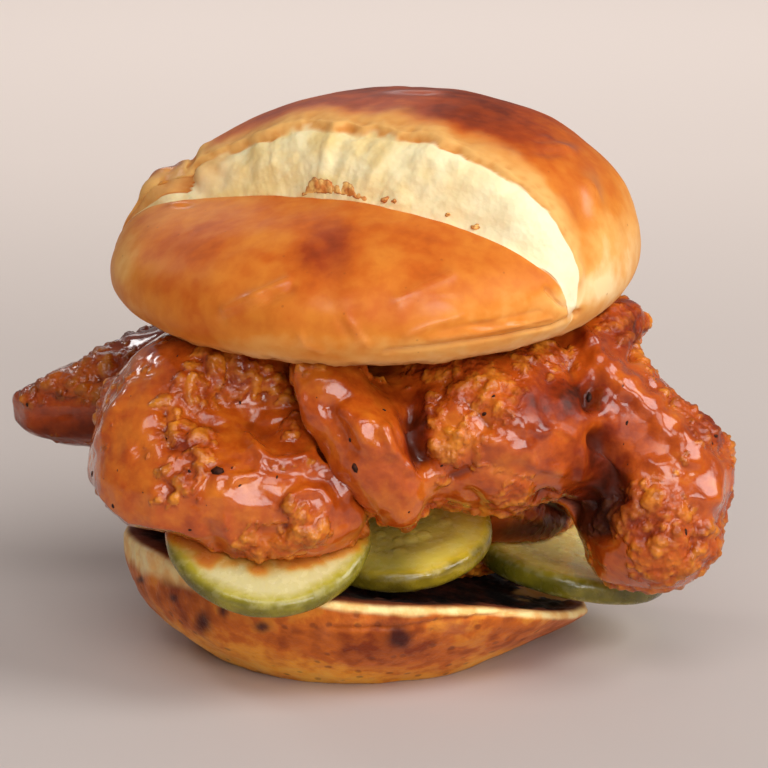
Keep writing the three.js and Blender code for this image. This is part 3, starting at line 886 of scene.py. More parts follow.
    localHeight = local[:, 2]
    shoulder = smooth(capEdge, capEdge + 22, angle) * (1 - smooth(225, 260, angle))
    edgeStrip = smooth(capEdge - 1, capEdge, angle) * (1 - smooth(capEdge + 4, capEdge + 18, angle))
    lowRight = smooth(30, 52, local[:, 0]) * (1 - smooth(14, 26, localHeight))
    bake = 0.45 + 0.1 * smooth(-6, 8, localHeight)
    bake = bake + shoulder * mix(0.05, 0.34, smooth(19, 31, localHeight)) - 0.2 * edgeStrip
    bake = bake - 0.28 * (1 - smooth(-9.5, -3, localHeight)) + 0.1 * fractal(points, 15, 136, 2)
    bake = bake + 0.45 * spotSum(pixels, v["brownPatches"]) * front
    bake = bake - 0.6 * spotSum(pixels, v["palePatches"]) * front
    bake = bake - 0.1 * lowRight + 0.08 * (1 - smooth(20, 30, along))
    gloss = np.maximum(gloss, np.clip(np.abs(creases) * 2.5, 0, 1))
    writeMasks(
        piece,
        crumb=crumb,
        torn=np.clip(tornBand, 0, 1),
        cut=cut,
        bake=np.clip(bake, 0, 1),
        relief=np.clip(0.5 + reliefOf(piece, 8) * 1.1, 0, 1),
        gloss=np.clip(gloss * plain, 0, 1),
    )
    return piece


def makeCrownMaterial():
    shades = shadesOf(crownColours)
    material, tree, shader, where = startMaterial("glazed crust and crumb")
    patches = mottle(tree, where, 48, 0.3, 0.7)
    fine = mottle(tree, where, 330, 0.35, 0.68)
    bake = timesPlus(tree, calculate(tree, "SUBTRACT", patches, 0.5), 0.12, mask(tree, "bake"))
    medium = mottle(tree, where, 130, 0.3, 0.72)
    bake = timesPlus(tree, calculate(tree, "SUBTRACT", medium, 0.5), 0.1, bake)
    bake = timesPlus(tree, calculate(tree, "SUBTRACT", fine, 0.5), 0.07, bake)
    crust = ramp(tree, bake, [
        (0.02, shades["pale"]), (0.22, shades["straw"]), (0.45, shades["golden"]),
        (0.66, shades["copper"]), (0.84, shades["brown"]), (1.0, shades["dark"]),
    ])
    specks = dots(tree, where, 420, 0.16, 0.12)
    crust = mixColour(tree, times(tree, specks, 0.4), crust, shades["speck"])
    relief = mask(tree, "relief")
    soft = mottle(tree, where, 150, 0.3, 0.7)
    crumb = mixColour(tree, soft, shades["crumb"], shades["crumbPale"])
    # Painted shade: the crumb is darker in its recesses
    crumb = mixColour(tree, remap(tree, relief, 0.45, 0.05, 0.0, 0.5), crumb, shades["crumbRecessShade"])
    rightward = addNode(tree, "ShaderNodeSeparateXYZ", {"Vector": where}).outputs["X"]
    rightward = remap(tree, rightward, -0.005, 0.045, 0.0, 0.7)
    crumb = mixColour(tree, rightward, crumb, shades["crumbRight"])
    # Painted shade and light: the torn band is darker in its recesses and paler on its raised parts
    tornShade = remap(tree, relief, 0.3, 0.6)
    tornShade = mixColour(tree, tornShade, shades["torn"], shades["tornPale"])
    base = mixColour(tree, times(tree, mask(tree, "torn"), 0.85), crust, tornShade)
    base = mixColour(tree, mask(tree, "crumb"), base, crumb)
    cutShade = mixColour(tree, fine, shades["cut"], shades["cutBrown"])
    base = mixColour(tree, mask(tree, "cut"), base, cutShade)
    bread = calculate(tree, "MAXIMUM", times(tree, mask(tree, "torn"), 0.6), mask(tree, "cut"))
    bread = calculate(tree, "MAXIMUM", mask(tree, "crumb"), bread)
    gloss = mask(tree, "gloss")
    rough = timesPlus(tree, gloss, -0.22, remap(tree, bread, 0.0, 1.0, 0.46, 0.85))
    feed(tree, shader, {
        "Base Color": base, "Roughness": rough, "Specular IOR Level": 0.14,
        "Coat Weight": times(tree, gloss, 0.8), "Coat Roughness": 0.26,
        "Subsurface Weight": 0.12, "Subsurface Radius": (1.0, 0.6, 0.3), "Subsurface Scale": 0.003,
    })
    pits = cellNode(tree, where, 900).outputs["Distance"]
    grit = noiseNode(tree, where, 1300, 4)
    skinGrain = noiseNode(tree, where, 500, 3)
    grain = times(tree, calculate(tree, "ADD", pits, grit), bread)
    heights = timesPlus(tree, skinGrain, 0.12, times(tree, grain, 0.26))
    setBump(tree, shader, heights, 0.4, 0.0007)
    return material


# Torn crust: a ragged flap that stands on the lip of the split, and crumbs beside it
flakeValues = {
    "flap": [(303, 193), (318, 190), (334, 190), (350, 193), (366, 199)],
    "flapHeights": (0.2, 1.5, 2.5, 2.0, 1.9, 0.9, 1.2, 2.0, 1.3, 0.5, 0.2),
    "flapSteps": 90,
    "flapRows": 9,
    "flapThickness": 0.5,
    "crumbs": [(386, 199, 0.9), (394, 201, 0.6), (448, 214, 0.6), (476, 227, 0.8)],
}
flakeColours = {"pale": (246, 196, 110), "brown": (208, 126, 50), "tips": (168, 82, 32)}


def makeFlakes(crown):
    v = flakeValues
    tree = treeOf(crown)
    across, down = np.array(v["flap"], float).T
    columns = np.linspace(across[0], across[-1], v["flapSteps"] + 1)
    feet = []
    for x, y in zip(columns, np.interp(columns, across, down)):
        place = tree.ray_cast(*rayThrough(x, y))[0]
        feet.append(np.array(place) / mm)
    feet = np.array(feet)
    share = np.linspace(0, 1, len(feet))
    heights = np.interp(share, np.linspace(0, 1, len(v["flapHeights"])), v["flapHeights"])
    heights = np.maximum(0.1, heights + 0.45 * fractal(feet, 1.1, 150, 2))
    bpy.ops.object.select_all(action="DESELECT")
    bpy.ops.mesh.primitive_grid_add(
        x_subdivisions=v["flapSteps"], y_subdivisions=v["flapRows"], size=2, location=(0, 0, 0),
    )
    flap = bpy.context.active_object
    flap.name = "torn_crust"
    flat = readPoints(flap) * mm
    column = np.rint((flat[:, 0] + 1) / 2 * v["flapSteps"]).astype(int)
    rise = (flat[:, 1] + 1) / 2
    lean = 0.5 * fractal(feet, 3, 153)[column] * rise + 0.9 * rise ** 2
    raised = heights[column] * rise - 0.6 * (1 - rise)
    points = feet[column] + np.outer(raised, [0, 0, 1]) + np.outer(lean, [0, 1, 0])
    points = points + 0.18 * np.stack([fractal(points, 0.9, 156 + n, 2) for n in range(3)], 1)
    writePoints(flap, points)
    thick = flap.modifiers.new("thickness", "SOLIDIFY")
    thick.thickness = v["flapThickness"] * mm
    thick.offset = 0
    selectOnly(flap)
    bpy.ops.object.modifier_apply(modifier=thick.name)
    for x, y, size in v["crumbs"]:
        place = tree.ray_cast(*rayThrough(x, y))[0]
        bpy.ops.object.select_all(action="DESELECT")
        bpy.ops.mesh.primitive_ico_sphere_add(subdivisions=3, radius=size * mm, location=place)
        crumb = bpy.context.active_object
        bpy.ops.object.transform_apply(location=True, rotation=True, scale=True)
        points, normals = readPoints(crumb), readNormals(crumb)
        squash = np.array([1, 0.8, 0.6])
        middle = np.array(place) / mm
        bumps = size * 0.45 * fractal(points, size * 0.9, 160, 3)
        points = middle + (points - middle) * squash + normals * bumps[:, None]
        writePoints(crumb, points)
        crumb.select_set(True)
        flap.select_set(True)
        bpy.context.view_layer.objects.active = flap
        bpy.ops.object.join()
    recalculateNormals(flap)
    writeMasks(flap, relief=np.clip(0.5 + reliefOf(flap, 3) * 4, 0, 1))
    return flap


def makeFlakeMaterial():
    shades = shadesOf(flakeColours)
    material, tree, shader, where = startMaterial("torn crust")
    patches = mottle(tree, where, 520, 0.35, 0.65)
    shade = mixColour(tree, patches, shades["pale"], shades["brown"])
    proud = remap(tree, mask(tree, "relief"), 0.5, 0.9, 0.0, 0.7)
    shade = mixColour(tree, proud, shade, shades["tips"])
    feed(tree, shader, {"Base Color": shade, "Roughness": remap(tree, patches, 0.0, 1.0, 0.55, 0.75)})
    grit = noiseNode(tree, where, 1500, 4)
    setBump(tree, shader, grit, 0.4, 0.0004)
    return material


# Chicken: three pieces of craggy fried batter under a thick glossy sauce
chickenValues = {
    "voxel": 0.535,
    "smoothing": 14,
    "plump": 0.4,
    "nearGap": (0.3, 1.6),
    "batterLow": -2.1,
    "batterHigh": 0.3,
    "sauceBlend": 0.2,
    "lumpHeight": 0.75,
    "bumps": [(3.7, 1.2, 50), (1.9, 0.6, 54), (1.25, 0.3, 56)],  # size, warp and seed of each kind
    "bumpHeights": (0.85, 0.7, 0.35),
    "mostTrim": 0.92,
    "left": {
        "seed": 20,
        "roughness": 0.34,
        "crumbs": [
            (180, 450, 34, 44, 0.5), (235, 375, 40, 22, 0.5), (200, 405, 30, 20, 0.4),
            (183, 427, 21, 24, 1), (185, 474, 19, 16, 1), (185, 388, 15, 16, 0.9),
            (222, 363, 15, 16, 0.9), (219, 396, 14, 12, 0.8), (293, 436, 16, 9, 0.9),
            (309, 520, 22, 24, 1), (256, 548, 20, 12, 0.8), (250, 385, 16, 16, 0.7),
            (205, 440, 12, 14, 0.6), (150, 500, 14, 10, 0.4), (162, 408, 16, 14, 0.6),
            (285, 548, 16, 12, 0.7), (148, 455, 12, 10, 0.5), (215, 350, 20, 10, 0.5),
            (326, 440, 12, 14, 0.5), (115, 490, 30, 40, -0.6), (250, 490, 40, 16, -0.5),
            (345, 510, 18, 30, -0.6), (150, 530, 50, 12, -0.6), (245, 440, 20, 12, -0.4),
            (280, 455, 30, 8, -0.5),
        ],
        "strokes": [
            ([(247, 437), (258, 452), (271, 463), (288, 464), (305, 461)], 4.5, 1.5),
            ([(255, 362), (285, 385), (300, 425)], 26, 3.6),
            ([(250, 425), (275, 446), (300, 448)], 9, -1.0),
            ([(310, 454), (323, 470), (336, 474), (347, 493)], 4.5, 1.4),
            ([(322, 455), (346, 474), (362, 500)], 6, -1.4),
            ([(260, 463), (258, 475), (236, 478), (230, 485)], 3.5, 0.9),
            ([(286, 508), (292, 496), (305, 491), (320, 492), (329, 506)], 4.5, 1.5),
            ([(166, 412), (165, 432), (170, 448)], 5, -1.8), ([(172, 446), (190, 452)], 4, -1.2),
            ([(212, 470), (206, 486)], 5, -0.8), ([(225, 518), (228, 535), (235, 550)], 5, 0.8),
            ([(209, 525), (216, 545)], 6, -1.0), ([(190, 456), (206, 458), (212, 450)], 4, 0.8),
            ([(262, 530), (292, 526)], 6, -0.7),
            ([(140, 365), (128, 395), (112, 420), (98, 445)], 6, 0.8),
            ([(225, 350), (226, 378), (214, 398)], 4, -1.0),
            ([(245, 350), (256, 372), (262, 400)], 5, -1.0),
        ],
        "facets": [
            (248, 501, 22, 14, 1.0, 4), (222, 482, 10, 9, 0.7, 4), (163, 491, 17, 9, 0.9, 4),
            (211, 421, 20, 10, 0.8, 4), (300, 370, 12, 10, 0.9, 4), (303, 392, 13, 11, 0.9, 4),
            (308, 414, 13, 11, 0.9, 4), (278, 420, 12, 7, 0.7, 4), (135, 453, 13, 9, 0.8, 4),
            (342, 527, 8, 9, 0.8, 4), (315, 549, 11, 5, 0.7, 4), (268, 478, 10, 5, 0.5, 4),
            (150, 422, 9, 9, 0.6, 4), (255, 398, 11, 8, 0.6, 4), (200, 372, 8, 7, 0.6, 4),
        ],
        "toneAndShadeSpots": [
            (285, 440, 34, 20, -0.45), (170, 440, 22, 14, -0.35), (200, 450, 20, 12, -0.3),
            (230, 350, 70, 14, -0.15), (240, 375, 30, 20, -0.25), (115, 480, 24, 40, 0.05),
            (345, 500, 20, 26, -0.15), (330, 470, 14, 30, -0.3),
            (275, 400, 24, 26, -0.1), (225, 410, 20, 30, -0.1), (205, 405, 8, 34, -0.35),
            (160, 350, 30, 12, -0.25), (230, 540, 18, 14, -0.2), (285, 540, 16, 16, -0.1),
        ],
        "shadows": [],
        "dry": [],
        "trim": [(93, 484), (108, 508), (128, 523), (156, 528), (178, 533), (201, 541), (219, 556)],
        "sideSeed": 3,
    },
    "right": {
        "seed": 30,
        "roughness": 0.5,
        "crumbs": [
            (456, 446, 28, 18, 1), (434, 413, 12, 14, 0.7), (471, 374, 16, 12, 0.8),
            (500, 395, 22, 14, 0.7), (484, 476, 14, 12, 0.9), (508, 488, 20, 14, 0.8),
            (514, 508, 24, 9, 0.8), (534, 512, 14, 8, 0.6), (655, 520, 30, 44, 1),
            (664, 562, 26, 20, 0.9), (708, 428, 20, 20, 0.9), (628, 325, 20, 22, 0.8),
            (660, 382, 26, 16, 0.7), (690, 405, 20, 14, 0.7), (605, 520, 18, 14, 0.6),
            (710, 545, 20, 26, 0.8), (540, 355, 26, 10, 0.6), (425, 370, 26, 12, 0.6),
            (455, 395, 20, 12, 0.6), (330, 430, 40, 50, -1.4), (355, 455, 30, 34, -1.4),
            (400, 500, 26, 28, -1.4), (385, 420, 22, 30, -1.2), (575, 440, 34, 46, -1.0),
            (528, 452, 26, 16, -0.7), (622, 430, 36, 34, -1.1), (600, 370, 26, 30, -1.1),
            (550, 410, 24, 20, -0.5), (704, 482, 14, 26, -0.9), (660, 430, 26, 20, -0.8),
        ],
        "strokes": [
            ([(296, 360), (304, 392), (314, 424)], 10, 1.0),
            ([(345, 415), (368, 430), (378, 450)], 12, 1.2),
            ([(330, 405), (340, 425), (352, 450)], 7, -1.0),
            ([(384, 430), (390, 448), (400, 462), (418, 476)], 4.5, 1.7),
            ([(402, 480), (410, 500), (402, 518)], 12, 1.0),
            ([(411, 412), (417, 436), (424, 462)], 10, -4.2), ([(432, 405), (430, 425)], 6, -1.2),
            ([(491, 442), (512, 440), (528, 448), (530, 460)], 5, 1.0),
            ([(531, 462), (546, 467), (563, 471)], 3.5, 1.2),
            ([(508, 415), (520, 422), (524, 432)], 6, 1.0),
            ([(540, 432), (560, 428), (574, 438)], 3.5, 0.9), ([(582, 450), (580, 476)], 3.5, 0.9),
            ([(591, 388), (592, 402)], 9, -3.4), ([(571, 366), (575, 376)], 7, -1.8),
            ([(600, 440), (610, 465), (614, 500)], 13, -3.4), ([(590, 500), (604, 530)], 12, -2.2),
            ([(583, 334), (601, 365), (624, 386), (649, 408), (679, 436), (699, 466),
              (711, 500)], 7, 1.9),
            ([(560, 340), (578, 372)], 7, -0.9), ([(612, 352), (640, 380), (668, 404)], 7, -0.9),
            ([(638, 342), (634, 356)], 6, -2.2), ([(664, 470), (650, 462)], 5, 0.8),
            ([(640, 500), (650, 520), (648, 540)], 6, -1.2),
            ([(690, 510), (694, 530), (690, 550)], 6, -1.0), ([(706, 440), (722, 456)], 5, -1.0),
            ([(470, 405), (488, 425)], 6, -1.4), ([(446, 385), (440, 402)], 6, -1.2),
            ([(545, 500), (565, 510), (585, 512)], 9, -2.6), ([(480, 500), (470, 492)], 5, -1.2),
            ([(452, 478), (470, 470)], 5, -1.4), ([(500, 470), (486, 462)], 4, -0.9),
            ([(555, 370), (545, 400), (556, 430)], 10, -0.9),
        ],
        "facets": [
            (366, 430, 14, 17, 1.0, 4), (338, 394, 15, 11, 0.9, 4), (300, 372, 10, 12, 0.9, 4),
            (305, 398, 10, 14, 0.9, 4), (427, 476, 8, 6, 0.7, 4), (592, 342, 11, 12, 1.0, 4),
            (600, 360, 10, 12, 0.9, 4), (517, 446, 18, 14, 1.0, 4), (515, 420, 10, 9, 0.8, 4),
            (507, 477, 11, 5, 0.8, 4), (664, 466, 9, 7, 0.8, 4), (640, 491, 9, 5, 0.7, 4),
            (548, 467, 14, 4, 0.7, 4), (706, 486, 18, 28, 1.0, 0), (690, 452, 15, 15, 1.0, 0),
            (668, 426, 14, 13, 1.0, 0), (648, 404, 14, 12, 1.0, 0), (628, 386, 13, 12, 0.9, 0),
            (611, 370, 11, 11, 0.9, 0), (405, 466, 10, 8, 0.7, 4), (470, 378, 10, 7, 0.6, 4),
            (655, 388, 8, 6, 0.7, 0),
        ],
        "toneAndShadeSpots": [
            (590, 395, 22, 20, -0.9), (608, 480, 30, 52, -0.95), (416, 436, 16, 36, -0.9),
            (456, 446, 30, 20, 0.35), (560, 385, 44, 30, -0.3), (628, 425, 36, 26, -0.25),
            (560, 500, 40, 18, -0.8), (440, 365, 90, 12, -0.4),
            (712, 430, 26, 30, -0.3), (664, 564, 24, 14, 0.2), (552, 440, 40, 30, -0.3),
            (628, 325, 26, 30, -0.8), (650, 520, 24, 30, -0.5), (545, 405, 34, 28, -0.5),
            (700, 445, 34, 40, -0.3), (595, 340, 50, 20, -0.25), (430, 410, 14, 20, -0.4),
            (470, 410, 12, 20, -0.4), (640, 560, 40, 26, -0.15), (716, 520, 24, 50, -0.3),
            (530, 400, 30, 20, -0.15),
        ],
        "shadows": [
            (607, 492, 22, 46, 0.6), (570, 515, 34, 16, 0.8), (525, 530, 44, 14, 0.9),
            (418, 436, 10, 28, 0.4), (591, 396, 10, 12, 0.6), (595, 530, 18, 14, 0.7),
        ],
        "dry": [
            (540, 398, 40, 24, 1), (575, 385, 20, 20, 1), (630, 440, 32, 30, 0.85),
            (628, 325, 28, 28, 0.7), (575, 445, 30, 40, 0.8), (655, 530, 34, 34, 0.4),
            (455, 365, 60, 12, 0.6), (413, 436, 15, 36, 0.9), (607, 484, 24, 46, 0.8),
            (565, 516, 44, 18, 0.8), (520, 532, 44, 14, 0.8),
        ],
        "trim": [],
        "sideSeed": 7,
    },
    "back": {
        "seed": 40,
        "roughness": 0.34,
        "crumbs": [
            (88, 392, 22, 14, 0.9), (115, 372, 28, 16, 0.9), (60, 384, 20, 12, 0.7),
            (36, 400, 14, 10, 0.5),
        ],
        "strokes": [
            ([(22, 398), (40, 388), (66, 384)], 6, 1.0), ([(40, 418), (70, 414), (100, 420)], 6, -0.8),
            ([(60, 396), (88, 398)], 5, -0.8), ([(80, 372), (100, 360), (120, 350)], 5, 0.9),
            ([(112, 345), (140, 340), (160, 338)], 8, 0.8),
        ],
        "facets": [
            (134, 343, 22, 9, 1, 3), (32, 392, 9, 7, 0.9, 1), (96, 380, 12, 5, 0.6, 1),
            (60, 390, 10, 4, 0.6, 1),
        ],
        "toneAndShadeSpots": [(60, 425, 60, 14, -0.4), (75, 388, 60, 16, 0.35)],
        "shadows": [(60, 432, 70, 9, 0.4)],
        "dry": [(60, 428, 70, 14, 0.8)],
        "trim": [],
        "sideSeed": 11,
    },
}


def trimBelow(points, outline):  # lifts what hangs lower in the picture than the given outline
    across, down = np.array(outline, float).T
    pixels = pixelOf(points)
    limit = np.interp(pixels[:, 0], across, down, left=1e4, right=1e4)
    hanging = np.maximum(0, pixels[:, 1] - limit) * cameraValues["distance"] / focal
    lift = chickenValues["mostTrim"] * hanging
    return points + np.array([0, 0, 1]) * (lift * (points[:, 1] < 5))[:, None]


def makeChicken(side):
    v, own = chickenValues, chickenValues[side]
    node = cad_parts["chicken_" + side]
    piece = node.copy()
    piece.data = node.data.copy()
    piece.name = "chicken_" + side + "_sauced"
    piece.parent = None
    bpy.context.collection.objects.link(piece)
    for key in list(piece.keys()):
        del piece[key]
    selectOnly(piece)
    bpy.ops.object.mode_set(mode="EDIT")
    bpy.ops.mesh.select_all(action="SELECT")
    bpy.ops.mesh.remove_doubles(threshold=1e-6)
    bpy.ops.object.mode_set(mode="OBJECT")
    remesh = piece.modifiers.new("remesh", "REMESH")
    remesh.mode = "VOXEL"
    remesh.voxel_size = v["voxel"] * mm
    bpy.ops.object.modifier_apply(modifier=remesh.name)
    relax = piece.modifiers.new("relax", "SMOOTH")
    relax.factor = 0.5
    relax.iterations = v["smoothing"]
    bpy.ops.object.modifier_apply(modifier=relax.name)
    bpy.ops.object.shade_smooth()

    points, normals = readPoints(piece), readNormals(piece)
    pixels = pixelOf(points)
    seen = seenFromFront(piece)
    others = [node for name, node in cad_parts.items() if not name.startswith("chicken")]
    free = smooth(*v["nearGap"], distanceTo(points, treeOf(*others), v["nearGap"][1]))
    strokes = strokeSum(pixels, own["strokes"]) * seen
    points = points + normals * ((strokes + v["plump"]) * free)[:, None]
    if own["trim"]:
        points = trimBelow(points, own["trim"])
    points = neighbourMean(piece, points, 3)
    writePoints(piece, points)
    points = turnFacets(piece, points, own["facets"], seen * free)
    points = neighbourMean(piece, points, 1)
    writePoints(piece, points)

    # Batter and sauce each have a height of their own, and the higher of the two shows
    normals = readNormals(piece)
    elsewhere = smooth(0.0, 0.4, fractal(points, 16, own["sideSeed"], 2) + own["roughness"])
    crumb = mix(elsewhere, np.clip(own["roughness"] + spotSum(pixels, own["crumbs"]), 0, 1), seen)
    crumb = np.clip(crumb + 0.22 * fractal(points, 9, own["seed"]), 0, 1)
    warp = np.stack([fractal(points, 4, own["seed"] + 70 + n, 2) for n in range(3)], 1)
    big, small, tiny = (
        grains(points + much * warp, size, own["seed"] + seed) for size, much, seed in v["bumps"]
    )
    lumps = fractal(points, 7.5, own["seed"] + 61, 2)
    calm = np.clip(spotSum(pixels, own["facets"]) * seen, 0, 1)
    crumb = crumb * (1 - 0.5 * calm)
    batter = mix(v["batterLow"], v["batterHigh"], crumb) + v["lumpHeight"] * lumps
    for height, bump in zip(v["bumpHeights"], (big, small, tiny)):
        batter = batter + height * bump
    sauce = 0.38 * fractal(points, 7, own["seed"] + 58, 4) * (1 - 0.7 * calm)
    above = (batter - sauce) / v["sauceBlend"]
    lift = (sauce + v["sauceBlend"] * np.logaddexp(0, above)) * mix(0.15, 1, free)
    points = points + normals * lift[:, None]
    writePoints(piece, points)
    exposed = smooth(-0.8, 1.3, above)

    # The tone spots paint shade in recesses, under the crown and on faces lit too brightly, and also
    # give the sauce's own lighter and darker patches
    tone = spotSum(pixels, own["toneAndShadeSpots"]) * seen
    writeMasks(
        piece,
        crumb=exposed,
        grain=np.clip(0.4 * big + 0.45 * small + 0.3 * tiny, 0, 1) * exposed,
        dry=np.clip(spotSum(pixels, own["dry"]) * seen, 0, 1),
        # cavity: crevices, darkened partly for thicker sauce and partly as painted shade; hollow: large
        # recesses, darkened as painted shade
        cavity=np.clip(0.5 - reliefOf(piece, 12) * 0.7, 0, 1),
        hollow=np.clip(0.5 - reliefOf(piece, 70) * 0.3, 0, 1),
        tone=0.5 + 0.5 * np.clip(tone, -1, 1),
        shadow=np.clip(spotSum(pixels, own["shadows"]) * seen, 0, 0.92),
    )
    print("chicken", side, len(piece.data.polygons), "faces, crumb", round(float(exposed.mean()), 2))
    return piece


sauceColours = {
    "fresh": {
        "shade": (66, 20, 4), "deep": (136, 44, 9), "body": (186, 80, 18), "bright": (214, 116, 30),
        "gold": (224, 136, 38), "brown": (158, 72, 12), "shadow": (44, 12, 5),
    },
    "dark": {
        "shade": (56, 18, 2), "deep": (108, 34, 3), "body": (156, 58, 5), "bright": (184, 86, 14),
        "gold": (190, 108, 28), "brown": (118, 48, 6), "shadow": (44, 12, 5),
    },
}


def makeSauceMaterial(name):
    shades = shadesOf(sauceColours[name])
    material, tree, shader, where = startMaterial("sauced batter " + name)
    crumb, grain, cavity, tone = (mask(tree, key) for key in ("crumb", "grain", "cavity", "tone"))
    large = mottle(tree, where, 95, 0.3, 0.7)
    middling = mottle(tree, where, 230, 0.3, 0.7)
    fine = mottle(tree, where, 620, 0.35, 0.68)
    # The sauce level mixes its own patches with the painted shade and light of the tone spots
    level = timesPlus(tree, large, 0.26, times(tree, tone, 0.9))
    level = timesPlus(tree, middling, 0.2, level)
    level = timesPlus(tree, fine, 0.1, level)
    sauce = ramp(tree, level, [
        (0.1, shades["shade"]), (0.38, shades["deep"]), (0.68, shades["body"]), (1.0, shades["bright"]),
    ])
    golden = mixColour(tree, middling, shades["brown"], shades["gold"])
    goldShare = times(tree, remap(tree, grain, 0.12, 0.65), remap(tree, tone, 0.1, 0.5, 0.35, 1.0))
    base = mixColour(tree, goldShare, sauce, golden)
    # Crevices darker: partly thicker sauce, partly painted shade
    base = mixColour(tree, remap(tree, cavity, 0.52, 0.92, 0.0, 0.85), base, shades["deep"])
    # Painted shade in the large hollows
    hollow = remap(tree, mask(tree, "hollow"), 0.55, 1.0, 0.0, 0.8)
    base = mixColour(tree, hollow, base, shades["shade"])
    shadow = mask(tree, "shadow")
    base = mixColour(tree, shadow, base, shades["shadow"])
    rough = remap(tree, timesPlus(tree, fine, 0.3, crumb), 0.0, 1.3, 0.14, 0.36)
    dull = calculate(tree, "MAXIMUM", shadow, mask(tree, "dry"))
    rough = timesPlus(tree, dull, 0.3, rough)
    wet = times(tree, remap(tree, crumb, 0.0, 1.0, 0.8, 0.4), remap(tree, dull, 0.1, 0.8, 1.0, 0.05))
    feed(tree, shader, {
        "Base Color": base, "Roughness": rough, "Specular IOR Level": 0.2, "Coat Weight": wet,
        "Coat Roughness": 0.11, "Subsurface Weight": 0.08, "Subsurface Radius": (1.0, 0.35, 0.15),
        "Subsurface Scale": 0.0015,
    })
    ripples = noiseNode(tree, where, 360, 5)
    bits = cellNode(tree, where, 860, feature="SMOOTH_F1").outputs["Distance"]
    bits = times(tree, calculate(tree, "SUBTRACT", 1.0, bits), times(tree, crumb, 0.9))
    setBump(tree, shader, timesPlus(tree, ripples, 0.5, bits), 0.6, 0.001)
    return material


# Flecks of char and pepper in the sauce
fleckValues = {
    "placed": [
        (217, 471, 1.3), (113, 506, 0.5), (92, 474, 0.5), (355, 468, 0.8), (27, 405, 0.5),
        (277, 477, 0.35), (484, 414, 0.5), (686, 532, 0.6), (589, 397, 0.9), (384, 410, 0.5),
        (716, 436, 0.5), (627, 423, 0.4), (190, 530, 0.3), (409, 512, 0.3), (275, 561, 0.35),
        (240, 402, 0.4), (470, 345, 0.4), (350, 440, 0.4),
    ],
    "scattered": 220,
    "seed": 12,
}
fleckColours = {"black": (26, 12, 8), "brown": (74, 34, 18)}


def makeFlecks(carriers):
    v = fleckValues
    trees = [treeOf(piece) for piece in carriers]
    draw = np.random.default_rng(v["seed"])
    spots = []
    for x, y, size in v["placed"]:
        start, ray = rayThrough(x, y)
        hits = [hit for hit in (tree.ray_cast(start, ray) for tree in trees) if hit[0] is not None]
        if hits:
            place, normal = min(hits, key=lambda hit: hit[3])[:2]
            spots.append((place, normal, size))
    for piece in carriers:
        picks = draw.integers(0, len(piece.data.vertices), v["scattered"] // len(carriers))
        for index in picks:
            vertex = piece.data.vertices[int(index)]
            spots.append((vertex.co.copy(), vertex.normal.copy(), 0.14 + 0.22 * draw.random() ** 2))
    bpy.ops.object.select_all(action="DESELECT")
    bpy.ops.mesh.primitive_ico_sphere_add(subdivisions=1, radius=1, location=(0, 0, 0))
    pattern = bpy.context.active_object
    shape = readPoints(pattern) * mm
    faces = [tuple(face.vertices) for face in pattern.data.polygons]
    allPoints, allFaces = [], []
    for place, normal, size in spots:
        random = draw.random(6)
        spin = Matrix.Rotation(random[0] * 6.28, 3, "Z")
        turn = normal.to_track_quat("Z", "Y").to_matrix() @ spin
        stretch = (np.array([1, 0.6, 0.3]) + np.array([0.7, 0.3, 0.2]) * random[1:4]) * size * mm
        bumpy = shape * (1 + 0.25 * noise(shape + random[4] * 50, 0.7, 7))[:, None]
        first = len(allPoints) * len(shape)
        allPoints.append(bumpy * stretch @ np.array(turn).T + np.array(place))
        allFaces.extend(tuple(first + n for n in face) for face in faces)
    bpy.data.objects.remove(pattern)
    mesh = bpy.data.meshes.new("sauce_flecks")
    mesh.from_pydata(np.concatenate(allPoints).tolist(), [], allFaces)
    piece = bpy.data.objects.new("sauce_flecks", mesh)
    bpy.context.collection.objects.link(piece)
    recalculateNormals(piece)
    return piece


def makeFleckMaterial():
    shades = shadesOf(fleckColours)
    material, tree, shader, where = startMaterial("charred fleck")
    patches = mottle(tree, where, 900, 0.35, 0.7)
    feed(tree, shader, {
        "Base Color": mixColour(tree, patches, shades["black"], shades["brown"]),
        "Roughness": remap(tree, patches, 0.0, 1.0, 0.5, 0.7), "Specular IOR Level": 0.2,
    })
    return material


# Studio: one big floor, a key from the right, soft boxes above
studioValues = {
    "floorSize": 8.0,
    "floorNear": (197, 186, 180),
    "floorFar": (255, 239, 229),
    "world": (0.88, 0.84, 0.82, 1),
    "worldStrength": 0.21,
    "aim": (0, 0, 0.055),
    "boxes": [
        {"name": "key right", "at": (0.85, -0.35, 0.8), "size": (0.7, 0.7), "power": 8.8},
        {"name": "front top", "at": (0.0, -0.85, 1.0), "size": (0.8, 0.55), "power": 5.0},
        {"name": "back low", "at": (-0.35, 1.3, 0.8), "size": (0.8, 0.35), "power": 1.8},
        {"name": "back left", "at": (-0.7, 0.45, 0.6), "size": (0.1, 0.2), "power": 0.85},
        {"name": "front low", "at": (0.3, -1.05, 0.4), "size": (0.6, 0.42), "power": 4.8},
        {
            "name": "floor wash", "at": (0.3, 0.8, 0.8), "size": (1.6, 0.5), "power": 4.8,
            "aim": (0.3, 2.0, 0),
        },
    ],
}


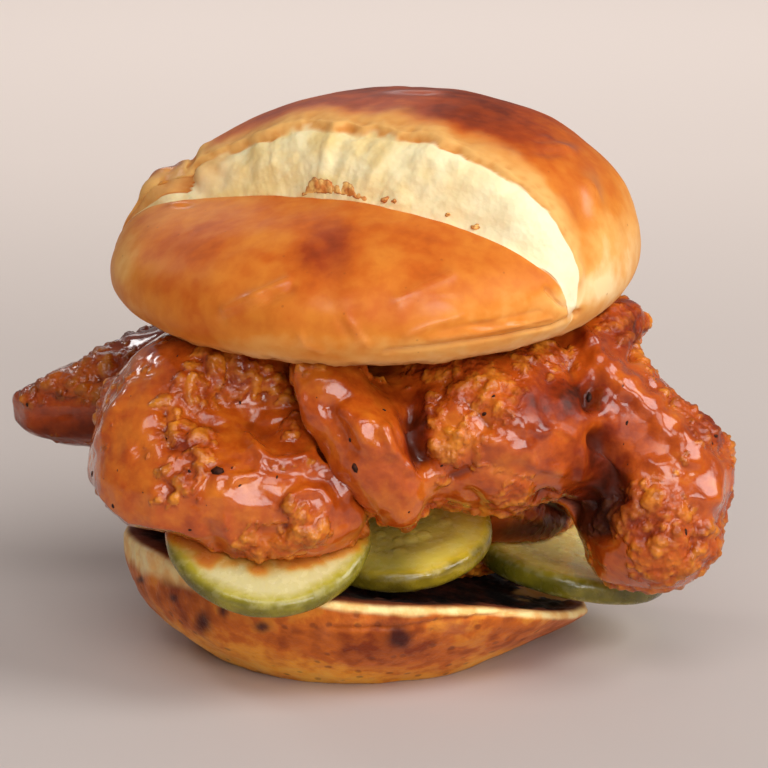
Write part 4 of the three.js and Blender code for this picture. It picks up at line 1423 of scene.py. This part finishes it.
def makeStudio():
    v = studioValues
    bpy.ops.object.select_all(action="DESELECT")
    bpy.ops.mesh.primitive_plane_add(size=v["floorSize"], location=(0, 0, 0))
    floor = bpy.context.active_object
    floor.name = "floor"
    material, tree, shader, where = startMaterial("studio floor")
    # The floor is painted lighter towards the back, a painted light gradient, with faint patches
    depth = addNode(tree, "ShaderNodeSeparateXYZ", {"Vector": where}).outputs["Y"]
    tone = remap(tree, depth, -0.1, 0.6)
    soft = mottle(tree, where, 3, 0.2, 0.8)
    tone = timesPlus(tree, soft, 0.04, tone)
    shade = mixColour(tree, tone, colour(*v["floorNear"]), colour(*v["floorFar"]))
    feed(tree, shader, {"Base Color": shade, "Roughness": 0.7, "Specular IOR Level": 0.1})
    floor.data.materials.append(material)
    world = bpy.data.worlds.new("studio")
    world.use_nodes = True
    background = world.node_tree.nodes["Background"]
    feed(world.node_tree, background, {"Color": v["world"], "Strength": v["worldStrength"]})
    scene.world = world
    for box in v["boxes"]:
        light = bpy.data.lights.new(box["name"], "AREA")
        light.shape = "RECTANGLE"
        light.size, light.size_y = box["size"]
        light.energy = box["power"]
        lamp = bpy.data.objects.new(box["name"], light)
        lamp.location = box["at"]
        aim = Vector(box.get("aim", v["aim"]))
        lamp.rotation_euler = (aim - Vector(box["at"])).to_track_quat("-Z", "Y").to_euler()
        scene.collection.objects.link(lamp)


def makeCamera():
    v = cameraValues
    data = bpy.data.cameras.new("camera")
    data.lens = v["lens"]
    data.sensor_width = v["sensor"]
    camera = bpy.data.objects.new("camera", data)
    camera.location = Vector(eye * mm)
    camera.rotation_euler = (math.radians(90 - v["elevation"]), 0, 0)
    scene.collection.objects.link(camera)
    scene.camera = camera


makeCamera()
makeStudio()
scene.view_settings.view_transform = "Standard"
print("studio and camera ready")

settle(makeHeel(), "bun", makeHeelMaterial(), "bun_heel")
print("heel ready")

crown = makeCrown()
settle(crown, "bun", makeCrownMaterial(), "bun_crown")
settle(makeFlakes(crown), "bun", makeFlakeMaterial())
print("crown ready")

chicken = {side: makeChicken(side) for side in ("back", "left", "right")}
freshSauce, darkSauce = makeSauceMaterial("fresh"), makeSauceMaterial("dark")
for side, piece in chicken.items():
    settle(piece, "chicken", darkSauce if side == "back" else freshSauce, "chicken_" + side)
print("chicken ready")

sauceTree = treeOf(chicken["left"], chicken["right"])
for side in ("left", "middle", "right"):
    pickleSlice = makePickle(side)
    points = readPoints(pickleSlice)
    away = distanceTo(points, sauceTree, 6) / pickleValues[side]["sauceReach"]
    away = away + 0.4 * fractal(points, 5, 140)
    writeMasks(pickleSlice, sauce=1 - smooth(0.1, 1.1, away))
    settle(pickleSlice, "pickle", makePickleMaterial(side), "pickle_" + side)
print("pickles ready")

settle(makeFlecks(list(chicken.values())), "chicken", makeFleckMaterial())
print("flecks ready")
